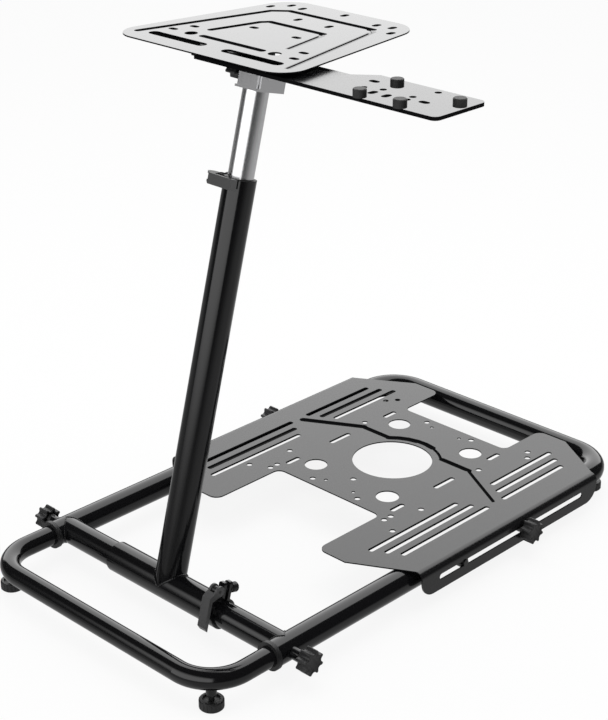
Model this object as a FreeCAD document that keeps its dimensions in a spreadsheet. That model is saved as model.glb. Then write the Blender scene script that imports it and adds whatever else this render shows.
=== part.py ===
"""Flight stick stand: a tube base with a pedal deck, a leaning telescopic post and two level plates.

Millimetres, Z up, X across the stand, Y from the front run of the base to its rear run.
The origin is on the floor, in the middle of the box round the whole stand.
"""
import FreeCAD, Part
import math
import os

import Sketcher

VERTICAL = FreeCAD.Vector(0, 0, 1)
AXES = {"X": FreeCAD.Vector(1, 0, 0), "Y": FreeCAD.Vector(0, 1, 0), "Z": VERTICAL}
SIDES = (("left", -1), ("right", 1))

# Driving sizes
SIZES = {
    # Rear frame: one bent tube whose open arms point forward
    "arm_spacing": 459.0,
    "arm_od": 38.0,
    "arm_wall": 2.0,
    "arm_height": 43.5,
    "arm_overhang": 24.0,
    "rear_reach": 735.4,
    "rear_bend": 57.0,
    # Front frame: a smaller bent tube that telescopes in the arms
    "front_od": 30.0,
    "front_wall": 2.0,
    "front_reach": 135.3,
    "front_bend": 60.0,
    "front_insert": 160.0,
    # Plastic collars in the open ends of the arms
    "collar_od": 42.0,
    "collar_rim": 6.0,
    "collar_plug": 36.0,
    # Levelling feet
    "foot_od": 34.0,
    "foot_height": 13.5,
    "foot_cup_od": 24.0,
    "foot_cup_depth": 3.0,
    "foot_edge": 1.5,
    "foot_stud_od": 8.0,
    "foot_nut_od": 15.0,
    "foot_nut_drop": 6.0,
    "foot_notch_od": 3.0,
    "foot_notches": 18.0,
    # Star knobs and the bosses that they screw into
    "knob_od": 36.5,
    "knob_head": 18.0,
    "knob_dome": 4.0,
    "knob_hub_od": 18.0,
    "knob_points": 8.0,
    "knob_scallop_od": 10.0,
    "knob_scallop_depth": 4.2,
    "knob_skirt": 3.3,
    "stud_od": 8.0,
    "boss_od": 18.0,
    "guide_place": 338.0,
    "guide_head_od": 10.0,
    "guide_head": 1.5,
    # Clearances
    "slide_gap": 0.3,
    "pin_gap": 0.1,
    # Pedal deck: a folded sheet that straddles the arms
    "sheet": 2.0,
    "fold_inner": 9.0,
    "flange_stand": 12.5,
    "flange_drop": 40.0,
    "flange_corner": 26.0,
    "flange_near": 236.0,
    "flange_far": 182.0,
    "flange_slot_near": 197.5,
    "flange_slot_far": 144.5,
    "flange_slot_width": 9.0,
    "deck_place": 478.5,
    "wing_near": 286.5,
    "wing_far": 238.5,
    "wing_inner": 106.5,
    "wing_tip": 160.0,
    "wing_corner": 15.0,
    "notch_near": 151.0,
    "notch_far": 148.5,
    "notch_corner": 12.0,
    "centre_hole": 127.0,
    "centre_hole_shift": -3.5,
    "corner_hole": 36.0,
    "corner_hole_across": 150.6,
    "corner_hole_along": 199.3,
    "slot_width": 7.5,
    "long_slot_first": 166.0,
    "long_slot_pitch": 20.5,
    "long_slot_stagger": 12.0,
    "near_slot_start": -239.7,
    "near_slot_length": 197.5,
    "far_slot_start": 40.2,
    "far_slot_length": 151.0,
    "short_slot_across": 220.0,
    "short_slot_along": 230.7,
    "short_slot_length": 28.0,
    "middle_slot_shift": -6.2,
    "middle_slot_length": 45.5,
    "deck_hole": 9.5,
    "deck_pilot": 6.0,
    "groove_width": 7.0,
    "groove_depth": 1.0,
    "groove_line": 50.0,
    "groove_knee": 111.0,
    "groove_end": 200.0,
    "groove_arc": 76.0,
    # Post: a sleeve on the cross tube with the leaning tube welded to it
    "lean": 15.0,
    "sleeve_od": 45.0,
    "sleeve_half": 111.0,
    "post_od": 45.0,
    "post_wall": 2.0,
    "post_length": 585.5,
    "liner_rim": 1.5,
    "liner_plug": 60.0,
    # Quick-release clamps: a split with two ears, a bolt and a cam lever
    "ear_width": 11.0,
    "ear_sheet": 5.0,
    "ear_reach": 24.0,
    "split": 6.0,
    "split_run": 18.0,
    "bolt_rise": 13.0,
    "bolt_od": 6.0,
    "bolt_eye_od": 12.0,
    "bolt_eye_width": 8.0,
    "bolt_nut_od": 13.0,
    "bolt_nut": 13.0,
    "cam_od": 16.0,
    "cam_pin_od": 5.0,
    "lever_width": 15.0,
    "lever_thick": 6.0,
    "lever_clear": 5.5,
    "lever_tail": 22.0,
    # Mast and its head
    "mast_od": 36.0,
    "mast_wall": 2.0,
    "mast_show": 119.0,
    "mast_insert": 330.0,
    "head_width": 44.0,
    "head_front": 19.0,
    "head_rear": 31.0,
    "head_sheet": 3.0,
    "head_flap": 22.0,
    "head_ear_rear": 17.0,
    "head_ear_top": 17.0,
    "head_ear_crown": 12.0,
    "head_slit": 1.0,
    "pivot_rise": 26.0,
    "tilt_knob_skirt": 8.3,
    "pivot_head_od": 13.0,
    "pivot_head": 5.5,
    # Level top: tilt bracket, side plate, spacers and main plate
    "tilt_ear_width": 22.0,
    "tilt_ear_sheet": 4.0,
    "tilt_ear_gap": 0.5,
    "carrier_rise": 30.0,
    "carrier_sheet": 4.0,
    "carrier_half": 36.0,
    "carrier_near": 88.0,
    "carrier_far": 46.0,
    "spacer_od": 16.0,
    "spacer_across": 50.0,
    "spacer_near": 71.0,
    "spacer_far": 29.5,
    "plate_gap": 6.0,
    "side_sheet": 3.0,
    "side_start": -14.0,
    "side_end": 390.0,
    "side_near": 103.5,
    "side_far": 33.0,
    "side_wide": 10.0,
    "side_jog": 194.0,
    "side_jog_run": 28.5,
    "side_corner": 9.0,
    "side_slot_end": 164.0,
    "side_slot_length": 150.0,
    "side_slot_near": 71.0,
    "side_slot_far": 40.5,
    "side_hole": 9.0,
    "bumper_od": 17.0,
    "bumper_height": 10.5,
    "bumper_edge": 1.0,
    "main_sheet": 2.0,
    "main_near": 117.1,
    "main_far": 182.5,
    "main_near_half": 165.5,
    "main_far_half": 120.5,
    "main_near_corner": 36.0,
    "main_far_corner": 45.0,
    "main_slot_across": 139.0,
    "main_slot_place": 81.1,
    "main_slot_length": 106.0,
    "main_slot_width": 16.0,
    "main_hole": 18.0,
    "main_hole_across": 156.0,
    "main_hole_place": 49.2,
    "mark_length": 14.0,
    "mark_width": 5.0,
    "line_width": 5.0,
    "line_depth": 1.0,
    "near_line_half": 55.0,
}

# Places of small holes, marks, bumpers and pressed corners: across and along
SPOTS = {
    # Pedal deck, right half, from the middle of the deck
    "heel_hole": (47.0, -136.5),
    "toe_hole": (47.0, 136.5),
    "heel_pilot": (29.0, -126.0),
    "toe_pilot": (29.0, 127.5),
    "wing_hole_near": (138.5, -94.5),
    "wing_hole_far": (138.5, 167.0),
    "rim_hole_near": (150.6, -173.0),
    "rim_hole_far": (150.6, 150.5),
    "waist_hole": (120.6, 64.7),
    "pair_hole_inner": (119.7, -142.0),
    "pair_hole_outer": (119.7, -156.8),
    "centre_near_hole": (0.0, -94.5),
    # Side plate, from the tilt pivot
    "side_mark_far": (236.3, -36.7),
    "side_mark_end": (339.6, -64.4),
    "side_mark_left": (268.1, -74.8),
    "side_mark_right": (289.6, -74.6),
    "side_hole_first": (244.6, -65.0),
    "side_hole_second": (268.7, -56.8),
    "side_hole_third": (315.0, -56.4),
    "side_hole_far": (324.5, -21.3),
    "side_hole_near": (317.5, -69.7),
    "bumper_far": (272.0, -35.5),
    "bumper_left": (269.5, -99.5),
    "bumper_right": (332.5, -99.5),
    "bumper_end": (380.0, -48.5),
    # Main plate, right half, from the tilt pivot
    "mark_near_outer": (112.6, -49.5),
    "mark_near_inner": (101.8, -21.0),
    "mark_far_outer": (112.4, 133.0),
    "mark_far_edge": (94.3, 156.5),
    "mark_far_inner": (69.4, 152.8),
    "mark_middle_far": (29.0, 102.5),
    "mark_middle": (39.5, 29.5),
    "mark_far_centre": (0.0, 164.5),
    "outer_line_start": (139.6, -87.9),
    "outer_line_knee": (93.0, 114.5),
    "outer_line_shoulder": (73.0, 131.2),
    "inner_line_start": (72.3, -18.1),
    "inner_line_knee": (56.0, 57.5),
    "inner_line_shoulder": (48.0, 67.5),
}
for spot_name, (spot_across, spot_along) in SPOTS.items():
    SIZES[f"{spot_name}_across"] = spot_across
    SIZES[f"{spot_name}_along"] = spot_along


class Dim:
    """A length that knows its value and the formula that binds it to the sheet."""

    def __init__(self, value, formula):
        self.value = value
        self.formula = formula

    def _join(self, other, sign, value):
        return Dim(value, f"({self.formula} {sign} {as_dim(other).formula})")

    def __add__(self, other):
        return self._join(other, "+", self.value + as_dim(other).value)

    def __sub__(self, other):
        return self._join(other, "-", self.value - as_dim(other).value)

    def __mul__(self, other):
        return self._join(other, "*", self.value * as_dim(other).value)

    def __truediv__(self, other):
        return self._join(other, "/", self.value / as_dim(other).value)

    def __neg__(self):
        return Dim(-self.value, f"(0 - {self.formula})")

    __radd__ = __add__
    __rmul__ = __mul__


def as_dim(number):
    """Turn a plain number into a Dim, and leave a Dim as it is."""
    if isinstance(number, Dim):
        return number
    return Dim(float(number), repr(float(number)))


def sine(angle):
    return Dim(math.sin(math.radians(angle.value)), f"sin({angle.formula} * 1deg)")


def cosine(angle):
    return Dim(math.cos(math.radians(angle.value)), f"cos({angle.formula} * 1deg)")


class Names:
    """The driving sizes as attributes, each one bound to its cell."""

    def __init__(self, sizes):
        for name, value in sizes.items():
            setattr(self, name, Dim(value, f"Sizes.{name}"))


def spot(name, side=1):
    """A named place, or its mirror image on the other side."""
    return getattr(D, f"{name}_across") * side, getattr(D, f"{name}_along")


doc = FreeCAD.newDocument("flight_stick_stand")
sheet = doc.addObject("Spreadsheet::Sheet", "Sizes")
for row, (alias, number) in enumerate(SIZES.items(), start=1):
    sheet.set(f"A{row}", alias)
    sheet.set(f"B{row}", str(number))
    sheet.setAlias(f"B{row}", alias)
doc.recompute()
D = Names(SIZES)
parts = []
waiting = {}

# Sizes that follow from the driving ones
ARM_X = D.arm_spacing / 2
ARM_R = D.arm_od / 2
FRONT_R = D.front_od / 2
SLEEVE_R = D.sleeve_od / 2
POST_R = D.post_od / 2
FLANGE_IN = ARM_X + ARM_R + D.flange_stand
FLANGE_OUT = FLANGE_IN + D.sheet
BOSS_END = FLANGE_IN - D.slide_gap
KNOB_SEAT = FLANGE_OUT + D.knob_skirt
KNOB_FACE = KNOB_SEAT + D.knob_head
DECK_BOTTOM = D.arm_height + ARM_R + D.slide_gap
DECK_FLAT = FLANGE_IN - D.fold_inner
MAST_TOP = D.post_length + D.liner_rim + D.mast_show
PIVOT_T = MAST_TOP + D.pivot_rise
HEAD_HALF = D.head_width / 2
BOLT_UP = SLEEVE_R + D.bolt_rise
EAR_OUT = D.split / 2 + D.ear_sheet
CAM_Y = EAR_OUT + D.cam_od / 2 + D.slide_gap
SIDE_BOTTOM = D.carrier_rise + D.carrier_sheet
SIDE_TOP = SIDE_BOTTOM + D.side_sheet
MAIN_BOTTOM = SIDE_TOP + D.plate_gap
# The middle of the box round the stand, seen from the middle of the cross tube
DATUM_X = (D.side_end - KNOB_FACE) / 2
DATUM_Y = (D.rear_reach + ARM_R - D.front_reach - FRONT_R) / 2


def bind(thing, prop, size):
    """Bind one property to a formula of the sheet."""
    thing.setExpression(prop, as_dim(size).formula)


def new_body(label):
    """Start a sub-part with its own label."""
    body = doc.addObject("PartDesign::Body", label)
    body.Label = label
    parts.append(body)
    return body


def place(body, x, y, z, axis="X", angle=0):
    """Put a sub-part at a point given from the cross tube's middle, turned about one axis."""
    body.Placement = FreeCAD.Placement(FreeCAD.Vector(), FreeCAD.Rotation(AXES[axis], 1.0))
    bind(body, "Placement.Base.x", as_dim(x) - DATUM_X)
    bind(body, "Placement.Base.y", as_dim(y) - DATUM_Y)
    bind(body, "Placement.Base.z", z)
    bind(body, "Placement.Rotation.Angle", angle)


def place_on_post(body, along=0):
    """Put a sub-part in the post's frame: Z runs up the leaning post from the cross tube's axis."""
    reach = as_dim(along)
    place(body, 0, reach * sine(D.lean), D.arm_height + reach * cosine(D.lean), "X", -D.lean)


def place_on_top(body):
    """Put a sub-part in the level frame of the plates, whose origin is the tilt pivot."""
    place(body, 0, PIVOT_T * sine(D.lean), D.arm_height + PIVOT_T * cosine(D.lean))


def new_sketch(body, plane, lift=0):
    """Start a sketch on one of the body's own planes, lifted along the plane's normal."""
    sketch = body.newObject("Sketcher::SketchObject", "Sketch")
    origin_plane = next(item for item in body.Origin.OriginFeatures if item.Role == plane + "_Plane")
    sketch.AttachmentSupport = [(origin_plane, "")]
    sketch.MapMode = "FlatFace"
    bind(sketch, "AttachmentOffset.Base.z", lift)
    return sketch


def hold(sketch, constraint, size=None):
    """Note a constraint, and the size that binds it, for when the sketch is settled."""
    waiting.setdefault(sketch.Name, []).append((constraint, size))


def settle(sketch):
    """Add a sketch's noted constraints together and bind those that have a size."""
    noted = waiting.pop(sketch.Name, [])
    if not noted:
        return
    indices = sketch.addConstraint([constraint for constraint, _ in noted])
    for index, (_, size) in zip(indices, noted):
        if size is not None:
            sketch.setExpression(f"Constraints[{index}]", as_dim(size).formula)


def pin(sketch, geometry, corner, x, y):
    """Hold one point of a sketch at a place given from its origin."""
    x, y = as_dim(x), as_dim(y)
    hold(sketch, Sketcher.Constraint("DistanceX", -1, 1, geometry, corner, x.value), x)
    hold(sketch, Sketcher.Constraint("DistanceY", -1, 1, geometry, corner, y.value), y)


def point(x, y):
    return FreeCAD.Vector(as_dim(x).value, as_dim(y).value, 0)


def add_circle(sketch, x, y, diameter):
    size = as_dim(diameter)
    circle = sketch.addGeometry(Part.Circle(point(x, y), VERTICAL, size.value / 2))
    pin(sketch, circle, 3, x, y)
    hold(sketch, Sketcher.Constraint("Diameter", circle, size.value), size)


def add_polygon(sketch, corners):
    """A closed outline of straight lines with every corner held."""
    count = len(corners)
    first = sketch.GeometryCount
    for index in range(count):
        start, end = corners[index], corners[(index + 1) % count]
        sketch.addGeometry(Part.LineSegment(point(*start), point(*end)))
    for index in range(count):
        following = first + (index + 1) % count
        hold(sketch, Sketcher.Constraint("Coincident", first + index, 2, following, 1))
    for index, corner in enumerate(corners):
        pin(sketch, first + index, 1, *corner)


def add_box(sketch, x_low, y_low, x_high, y_high):
    add_polygon(sketch, [(x_low, y_low), (x_high, y_low), (x_high, y_high), (x_low, y_high)])


def add_slot(sketch, start, end, width):
    """A round-ended slot between the centres of its two ends."""
    radius = as_dim(width) / 2
    low, high = point(*start), point(*end)
    turn = math.atan2(high.y - low.y, high.x - low.x)
    side = FreeCAD.Vector(-math.sin(turn), math.cos(turn), 0) * radius.value
    quarter = math.pi / 2

    def cap(centre, begin):
        circle = Part.Circle(centre, VERTICAL, radius.value)
        return sketch.addGeometry(Part.ArcOfCircle(circle, begin, begin + 2 * quarter))

    first = cap(low, turn + quarter)
    second = cap(high, turn - quarter)
    upper = sketch.addGeometry(Part.LineSegment(low + side, high + side))
    lower = sketch.addGeometry(Part.LineSegment(low - side, high - side))
    joins = ((first, 1, upper, 1), (first, 2, lower, 1), (second, 2, upper, 2), (second, 1, lower, 2))
    for join in joins:
        hold(sketch, Sketcher.Constraint("Tangent", *join))
    hold(sketch, Sketcher.Constraint("Equal", first, second))
    pin(sketch, first, 3, *start)
    pin(sketch, second, 3, *end)
    hold(sketch, Sketcher.Constraint("Radius", first, radius.value), radius)


def add_slot_along(sketch, x, y, length, width, direction):
    """A slot of a full length about its middle, along X or Y."""
    half = (as_dim(length) - width) / 2
    if direction == "X":
        add_slot(sketch, (x - half, y), (x + half, y), width)
    else:
        add_slot(sketch, (x, y - half), (x, y + half), width)


def add_arc(sketch, centre, radius, start, end):
    """An arc between two free ends, counter-clockwise, with its radius held."""
    middle = point(*centre)
    angles = [math.atan2(point(*tip).y - middle.y, point(*tip).x - middle.x) for tip in (start, end)]
    circle = Part.Circle(middle, VERTICAL, radius.value)
    arc = sketch.addGeometry(Part.ArcOfCircle(circle, angles[0], angles[1]))
    hold(sketch, Sketcher.Constraint("Radius", arc, radius.value), radius)
    return arc


def finish_feature(body, feature, sketch):
    settle(sketch)
    feature.Profile = sketch
    sketch.Visibility = False
    body.Tip = feature
    doc.recompute()
    return feature


def pad(body, sketch, length, reverse=False, middle=False):
    feature = body.newObject("PartDesign::Pad", "Pad")
    feature.Reversed = reverse
    feature.SideType = "Symmetric" if middle else "One side"
    bind(feature, "Length", length)
    return finish_feature(body, feature, sketch)


def pocket(body, sketch, length, reverse=False, middle=False):
    """Cut from a sketch against its normal, and make sure that something was cut."""
    before = body.Shape.Volume
    feature = body.newObject("PartDesign::Pocket", "Pocket")
    feature.Reversed = reverse
    feature.SideType = "Symmetric" if middle else "One side"
    bind(feature, "Length", length)
    finish_feature(body, feature, sketch)
    if body.Shape.Volume >= before:
        raise RuntimeError(f"{body.Label}: a pocket cut nothing")
    return feature


def revolve(body, sketch):
    feature = body.newObject("PartDesign::Revolution", "Revolution")
    feature.ReferenceAxis = (sketch, ["V_Axis"])
    feature.Angle = 360
    return finish_feature(body, feature, sketch)


def polar(body, feature, count):
    """Repeat a feature round the body's Z axis."""
    pattern = body.newObject("PartDesign::PolarPattern", "Polar")
    pattern.Originals = [feature]
    axis = next(item for item in body.Origin.OriginFeatures if item.Role == "Z_Axis")
    pattern.Axis = (axis, [""])
    pattern.Angle = 360
    bind(pattern, "Occurrences", count)
    body.Tip = pattern
    doc.recompute()
    return pattern


def edges_along(feature, axis, test):
    """Names of a feature's straight edges along one axis whose middle passes a test."""
    names = []
    for index, edge in enumerate(feature.Shape.Edges, start=1):
        if not isinstance(edge.Curve, Part.Line):
            continue
        run = edge.Vertexes[-1].Point - edge.Vertexes[0].Point
        if abs(run.normalize().dot(AXES[axis])) > 0.999 and test(edge.CenterOfMass):
            names.append(f"Edge{index}")
    if not names:
        raise RuntimeError(f"{feature.Label}: no edge to round")
    return names


def round_edges(body, axis, radius, test):
    """Round the straight edges along one axis of the body's last feature."""
    base = body.Tip
    feature = body.newObject("PartDesign::Fillet", "Fillet")
    feature.Base = (base, edges_along(base, axis, test))
    bind(feature, "Radius", radius)
    body.Tip = feature
    doc.recompute()
    return feature


def tube_pipe(body, kind, spine, profile):
    """Sweep a round section along a bent spine, adding or removing it."""
    settle(spine)
    feature = body.newObject(kind, "Pipe")
    feature.Spine = (spine, [f"Edge{index + 1}" for index in range(spine.GeometryCount)])
    spine.Visibility = False
    return finish_feature(body, feature, profile)


def add_u_spine(sketch, half, open_end, run, bend):
    """Three straight runs and two bends: two legs along Y joined by a run across X.

    The legs go from open_end to the run, and inward is the Y direction from the run to the legs.
    """
    inward = 1 if open_end.value > run.value else -1
    turn = run + bend * inward
    legs = []
    for side in (-1, 1):
        leg = Part.LineSegment(point(half * side, open_end), point(half * side, turn))
        legs.append(sketch.addGeometry(leg))
    across = sketch.addGeometry(Part.LineSegment(point(bend - half, run), point(half - bend, run)))
    for index, side in enumerate((-1, 1)):
        centre = ((half - bend) * side, turn)
        tips = [(half * side, turn), ((half - bend) * side, run)]
        counter_clockwise = (side * inward) < 0
        start, end = tips if counter_clockwise else reversed(tips)
        arc = add_arc(sketch, centre, bend, start, end)
        leg_end, run_end = (1, 2) if counter_clockwise else (2, 1)
        hold(sketch, Sketcher.Constraint("Coincident", arc, leg_end, legs[index], 2))
        hold(sketch, Sketcher.Constraint("Coincident", arc, run_end, across, index + 1))
        pin(sketch, legs[index], 1, half * side, open_end)
        pin(sketch, legs[index], 2, half * side, turn)
        pin(sketch, across, index + 1, (half - bend) * side, run)


def bend_middle(half, run, bend, inward):
    """The point half way round a bend, on the right side."""
    share = 1 - math.sqrt(0.5)
    return half - bend * share, run + bend * (inward * share)


def bent_tube(label, half, open_end, run, bend, outer, wall, bosses=()):
    """A U of round tube with a nut under each bend and side bosses on its legs."""
    body = new_body(label)
    inward = 1 if open_end.value > run.value else -1
    spine = new_sketch(body, "XY")
    add_u_spine(spine, half, open_end, run, bend)
    section = new_sketch(body, "XZ", -open_end)
    add_circle(section, -half, 0, outer)
    tube_pipe(body, "PartDesign::AdditivePipe", spine, section)
    foot_x, foot_y = bend_middle(half, run, bend, inward)
    nuts = new_sketch(body, "XY", -(outer / 2 + D.foot_nut_drop))
    for side in (-1, 1):
        add_circle(nuts, foot_x * side, foot_y, D.foot_nut_od)
    pad(body, nuts, outer / 2 + D.foot_nut_drop)
    for side in (-1, 1):
        if bosses:
            seats = new_sketch(body, "YZ", half * side)
            for boss in bosses:
                add_circle(seats, boss, 0, D.boss_od)
            pad(body, seats, BOSS_END - half, reverse=side < 0)
    inner = new_sketch(body, "XZ", -open_end)
    add_circle(inner, -half, 0, outer - 2 * wall)
    tube_pipe(body, "PartDesign::SubtractivePipe", spine, inner)
    threads = new_sketch(body, "XY", -(outer / 2 + D.foot_nut_drop))
    for side in (-1, 1):
        add_circle(threads, foot_x * side, foot_y, D.foot_stud_od + 2 * D.pin_gap)
    pocket(body, threads, D.foot_nut_drop + outer / 2, reverse=True)
    for side in (-1, 1):
        if bosses:
            holes = new_sketch(body, "YZ", BOSS_END * side)
            for boss in bosses:
                add_circle(holes, boss, 0, D.stud_od + 2 * D.pin_gap)
            pocket(body, holes, BOSS_END - half, reverse=side < 0)
    place(body, 0, 0, D.arm_height)
    return body


def revolved(label, outline):
    """A turned piece from its half section: corners are radius and height."""
    body = new_body(label)
    sketch = new_sketch(body, "XZ")
    add_polygon(sketch, outline)
    revolve(body, sketch)
    return body


def make_cross_tube():
    """The tube between the arms, coped to them, that the sleeve turns on."""
    body = new_body("cross_tube")
    ring = new_sketch(body, "YZ")
    add_circle(ring, 0, 0, D.arm_od)
    add_circle(ring, 0, 0, D.arm_od - 2 * D.arm_wall)
    pad(body, ring, D.arm_spacing, middle=True)
    copes = new_sketch(body, "XZ", ARM_R)
    for side in (-1, 1):
        add_circle(copes, ARM_X * side, 0, D.arm_od)
    pocket(body, copes, D.arm_od, reverse=False)
    place(body, 0, 0, D.arm_height)


def make_collars():
    """Plastic bushes that close the arms round the front frame's legs."""
    bore = FRONT_R + D.slide_gap
    plug = ARM_R - D.arm_wall - D.pin_gap
    rim = D.collar_od / 2
    outline = [(bore, -D.collar_plug), (plug, -D.collar_plug), (plug, 0), (rim, 0),
               (rim, D.collar_rim), (bore, D.collar_rim)]
    for name, side in SIDES:
        body = revolved(f"arm_collar_{name}", outline)
        stud = new_sketch(body, "YZ")
        add_circle(stud, 0, -D.arm_overhang, D.stud_od + 2 * D.pin_gap)
        pocket(body, stud, ARM_R, reverse=side > 0)
        place(body, ARM_X * side, -D.arm_overhang, D.arm_height, "X", 90)


def make_foot(label, x, y, tube_bottom):
    """A turned levelling foot with a cupped top, a gripped rim and its stud."""
    rim, cup, stud = D.foot_od / 2, D.foot_cup_od / 2, D.foot_stud_od / 2
    edge, floor = D.foot_edge, D.foot_height - D.foot_cup_depth
    outline = [(0, 0), (rim - edge, 0), (rim, edge), (rim, D.foot_height - edge),
               (rim - edge, D.foot_height), (cup, D.foot_height), (cup, floor), (stud, floor),
               (stud, tube_bottom), (0, tube_bottom)]
    body = revolved(label, outline)
    notch = new_sketch(body, "XY", D.foot_height)
    add_circle(notch, rim + edge / 2, 0, D.foot_notch_od)
    polar(body, pocket(body, notch, D.foot_height), D.foot_notches)
    place(body, x, y, 0)


def make_feet():
    corners = {
        "rear": (*bend_middle(ARM_X, D.rear_reach, D.rear_bend, -1), D.arm_height - ARM_R),
        "front": (*bend_middle(ARM_X, -D.front_reach, D.front_bend, 1), D.arm_height - FRONT_R),
    }
    for end, (x, y, bottom) in corners.items():
        for name, side in SIDES:
            make_foot(f"{end}_foot_{name}", x * side, y, bottom)


def make_knob(label, hub, stud=None):
    """A star knob along Z: the head stands on Z 0, with its hub and any stud below."""
    rim, neck, rod = D.knob_od / 2, D.knob_hub_od / 2, D.stud_od / 2
    dome = D.knob_dome
    if stud is None:
        outline = [(0, -hub)]
    else:
        outline = [(0, -(hub + stud)), (rod, -(hub + stud)), (rod, -hub)]
    outline += [(neck, -hub), (neck, 0), (rim - dome / 2, 0), (rim, dome / 2), (rim, D.knob_head - dome),
                (rim - dome, D.knob_head), (0, D.knob_head)]
    body = revolved(label, outline)
    scallop = new_sketch(body, "XY", D.knob_head)
    add_circle(scallop, rim + D.knob_scallop_od / 2 - D.knob_scallop_depth, 0, D.knob_scallop_od)
    polar(body, pocket(body, scallop, D.knob_head), D.knob_points)
    return body


def make_side_knobs():
    """Lock knobs of the front frame and clamp knobs of the pedal deck, screwed into the arms."""
    lock_hub = KNOB_SEAT - BOSS_END
    deck_hub = D.knob_skirt - D.slide_gap
    stud_tip = ARM_X + FRONT_R + D.slide_gap
    for name, side in SIDES:
        lock = make_knob(f"front_lock_knob_{name}", lock_hub, BOSS_END - stud_tip)
        place(lock, KNOB_SEAT * side, 0, D.arm_height, "Y", 90 * side)
        deck = make_knob(f"pedal_knob_{name}", deck_hub, FLANGE_OUT + D.slide_gap - stud_tip)
        place(deck, KNOB_SEAT * side, D.deck_place, D.arm_height, "Y", 90 * side)


def make_guide_pins():
    """Headed pins that keep the deck's flanges in line with the arms."""
    rod, head = D.stud_od / 2, D.guide_head_od / 2
    tail = FLANGE_OUT + D.slide_gap - (ARM_X + FRONT_R + D.slide_gap)
    outline = [(0, -tail), (rod, -tail), (rod, 0), (head, 0), (head, D.guide_head), (0, D.guide_head)]
    for name, side in SIDES:
        body = revolved(f"deck_guide_pin_{name}", outline)
        place(body, (FLANGE_OUT + D.slide_gap) * side, D.guide_place, D.arm_height, "Y", 90 * side)


def deck_outline():
    """The flat of the deck: two wings at each end with a notch between them."""
    right = [(D.wing_inner, -D.notch_near), (D.wing_inner, -D.wing_near), (D.wing_tip, -D.wing_near),
             (DECK_FLAT, -D.flange_near), (DECK_FLAT, D.flange_far), (D.wing_tip, D.wing_far),
             (D.wing_inner, D.wing_far), (D.wing_inner, D.notch_far)]
    return right + [(-x, y) for x, y in reversed(right)]


def fold_section(sketch, side):
    """The fold and the flange that hangs outside an arm, in section."""
    low = -D.fold_inner
    bottom = -D.flange_drop
    corners = {
        "top": (DECK_FLAT * side, D.sheet), "outer": (FLANGE_OUT * side, low),
        "outer_foot": (FLANGE_OUT * side, bottom), "inner_foot": (FLANGE_IN * side, bottom),
        "inner": (FLANGE_IN * side, low), "under": (DECK_FLAT * side, 0),
    }
    runs = (("outer", "outer_foot"), ("outer_foot", "inner_foot"), ("inner_foot", "inner"), ("under", "top"))
    lines = [sketch.addGeometry(Part.LineSegment(point(*corners[a]), point(*corners[b]))) for a, b in runs]
    for line, (a, b) in zip(lines, runs):
        pin(sketch, line, 1, *corners[a])
    pin(sketch, lines[3], 2, *corners["top"])
    pin(sketch, lines[2], 2, *corners["inner"])
    hold(sketch, Sketcher.Constraint("Coincident", lines[0], 2, lines[1], 1))
    hold(sketch, Sketcher.Constraint("Coincident", lines[1], 2, lines[2], 1))
    arcs = ((D.fold_inner + D.sheet, "outer", "top", lines[0], 1, lines[3], 2),
            (D.fold_inner, "inner", "under", lines[2], 2, lines[3], 1))
    centre = (DECK_FLAT * side, low)
    for radius, low_end, high_end, low_line, low_tip, high_line, high_tip in arcs:
        ends = (low_end, high_end) if side > 0 else (high_end, low_end)
        arc = add_arc(sketch, centre, radius, corners[ends[0]], corners[ends[1]])
        first, second = (1, 2) if side > 0 else (2, 1)
        hold(sketch, Sketcher.Constraint("Coincident", arc, first, low_line, low_tip))
        hold(sketch, Sketcher.Constraint("Coincident", arc, second, high_line, high_tip))


def cut_deck_slots(body):
    """Long slots in the wings and short ones beside the holes, all along Y."""
    sketch = new_sketch(body, "XY", D.sheet)
    for side in (-1, 1):
        for index in range(3):
            x = (D.long_slot_first + D.long_slot_pitch * index) * side
            drift = D.long_slot_stagger * index
            near = D.near_slot_start + D.near_slot_length / 2 + drift
            far = D.far_slot_start + D.far_slot_length / 2 - drift
            add_slot_along(sketch, x, near, D.near_slot_length, D.slot_width, "Y")
            add_slot_along(sketch, x, far, D.far_slot_length, D.slot_width, "Y")
        x = D.short_slot_across / 2 * side
        for end in (-1, 1):
            middle = D.short_slot_along / 2 * end
            add_slot_along(sketch, x, middle, D.short_slot_length, D.slot_width, "Y")
        add_slot_along(sketch, x, D.middle_slot_shift, D.middle_slot_length, D.slot_width, "Y")
    pocket(body, sketch, D.sheet)


def cut_deck_holes(body):
    """The centre hole, the four corner holes and the small pedal holes, alike on both sides."""
    sketch = new_sketch(body, "XY", D.sheet)
    add_circle(sketch, 0, D.centre_hole_shift, D.centre_hole)
    add_circle(sketch, *spot("centre_near_hole"), D.deck_hole)
    pedal_holes = ("heel_hole", "toe_hole", "wing_hole_near", "wing_hole_far", "rim_hole_near", "rim_hole_far",
                   "waist_hole", "pair_hole_inner", "pair_hole_outer")
    for side in (-1, 1):
        for end in (-1, 1):
            add_circle(sketch, D.corner_hole_across / 2 * side, D.corner_hole_along / 2 * end, D.corner_hole)
        for name in pedal_holes:
            add_circle(sketch, *spot(name, side), D.deck_hole)
        for name in ("heel_pilot", "toe_pilot"):
            add_circle(sketch, *spot(name, side), D.deck_pilot)
    pocket(body, sketch, D.sheet)


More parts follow.
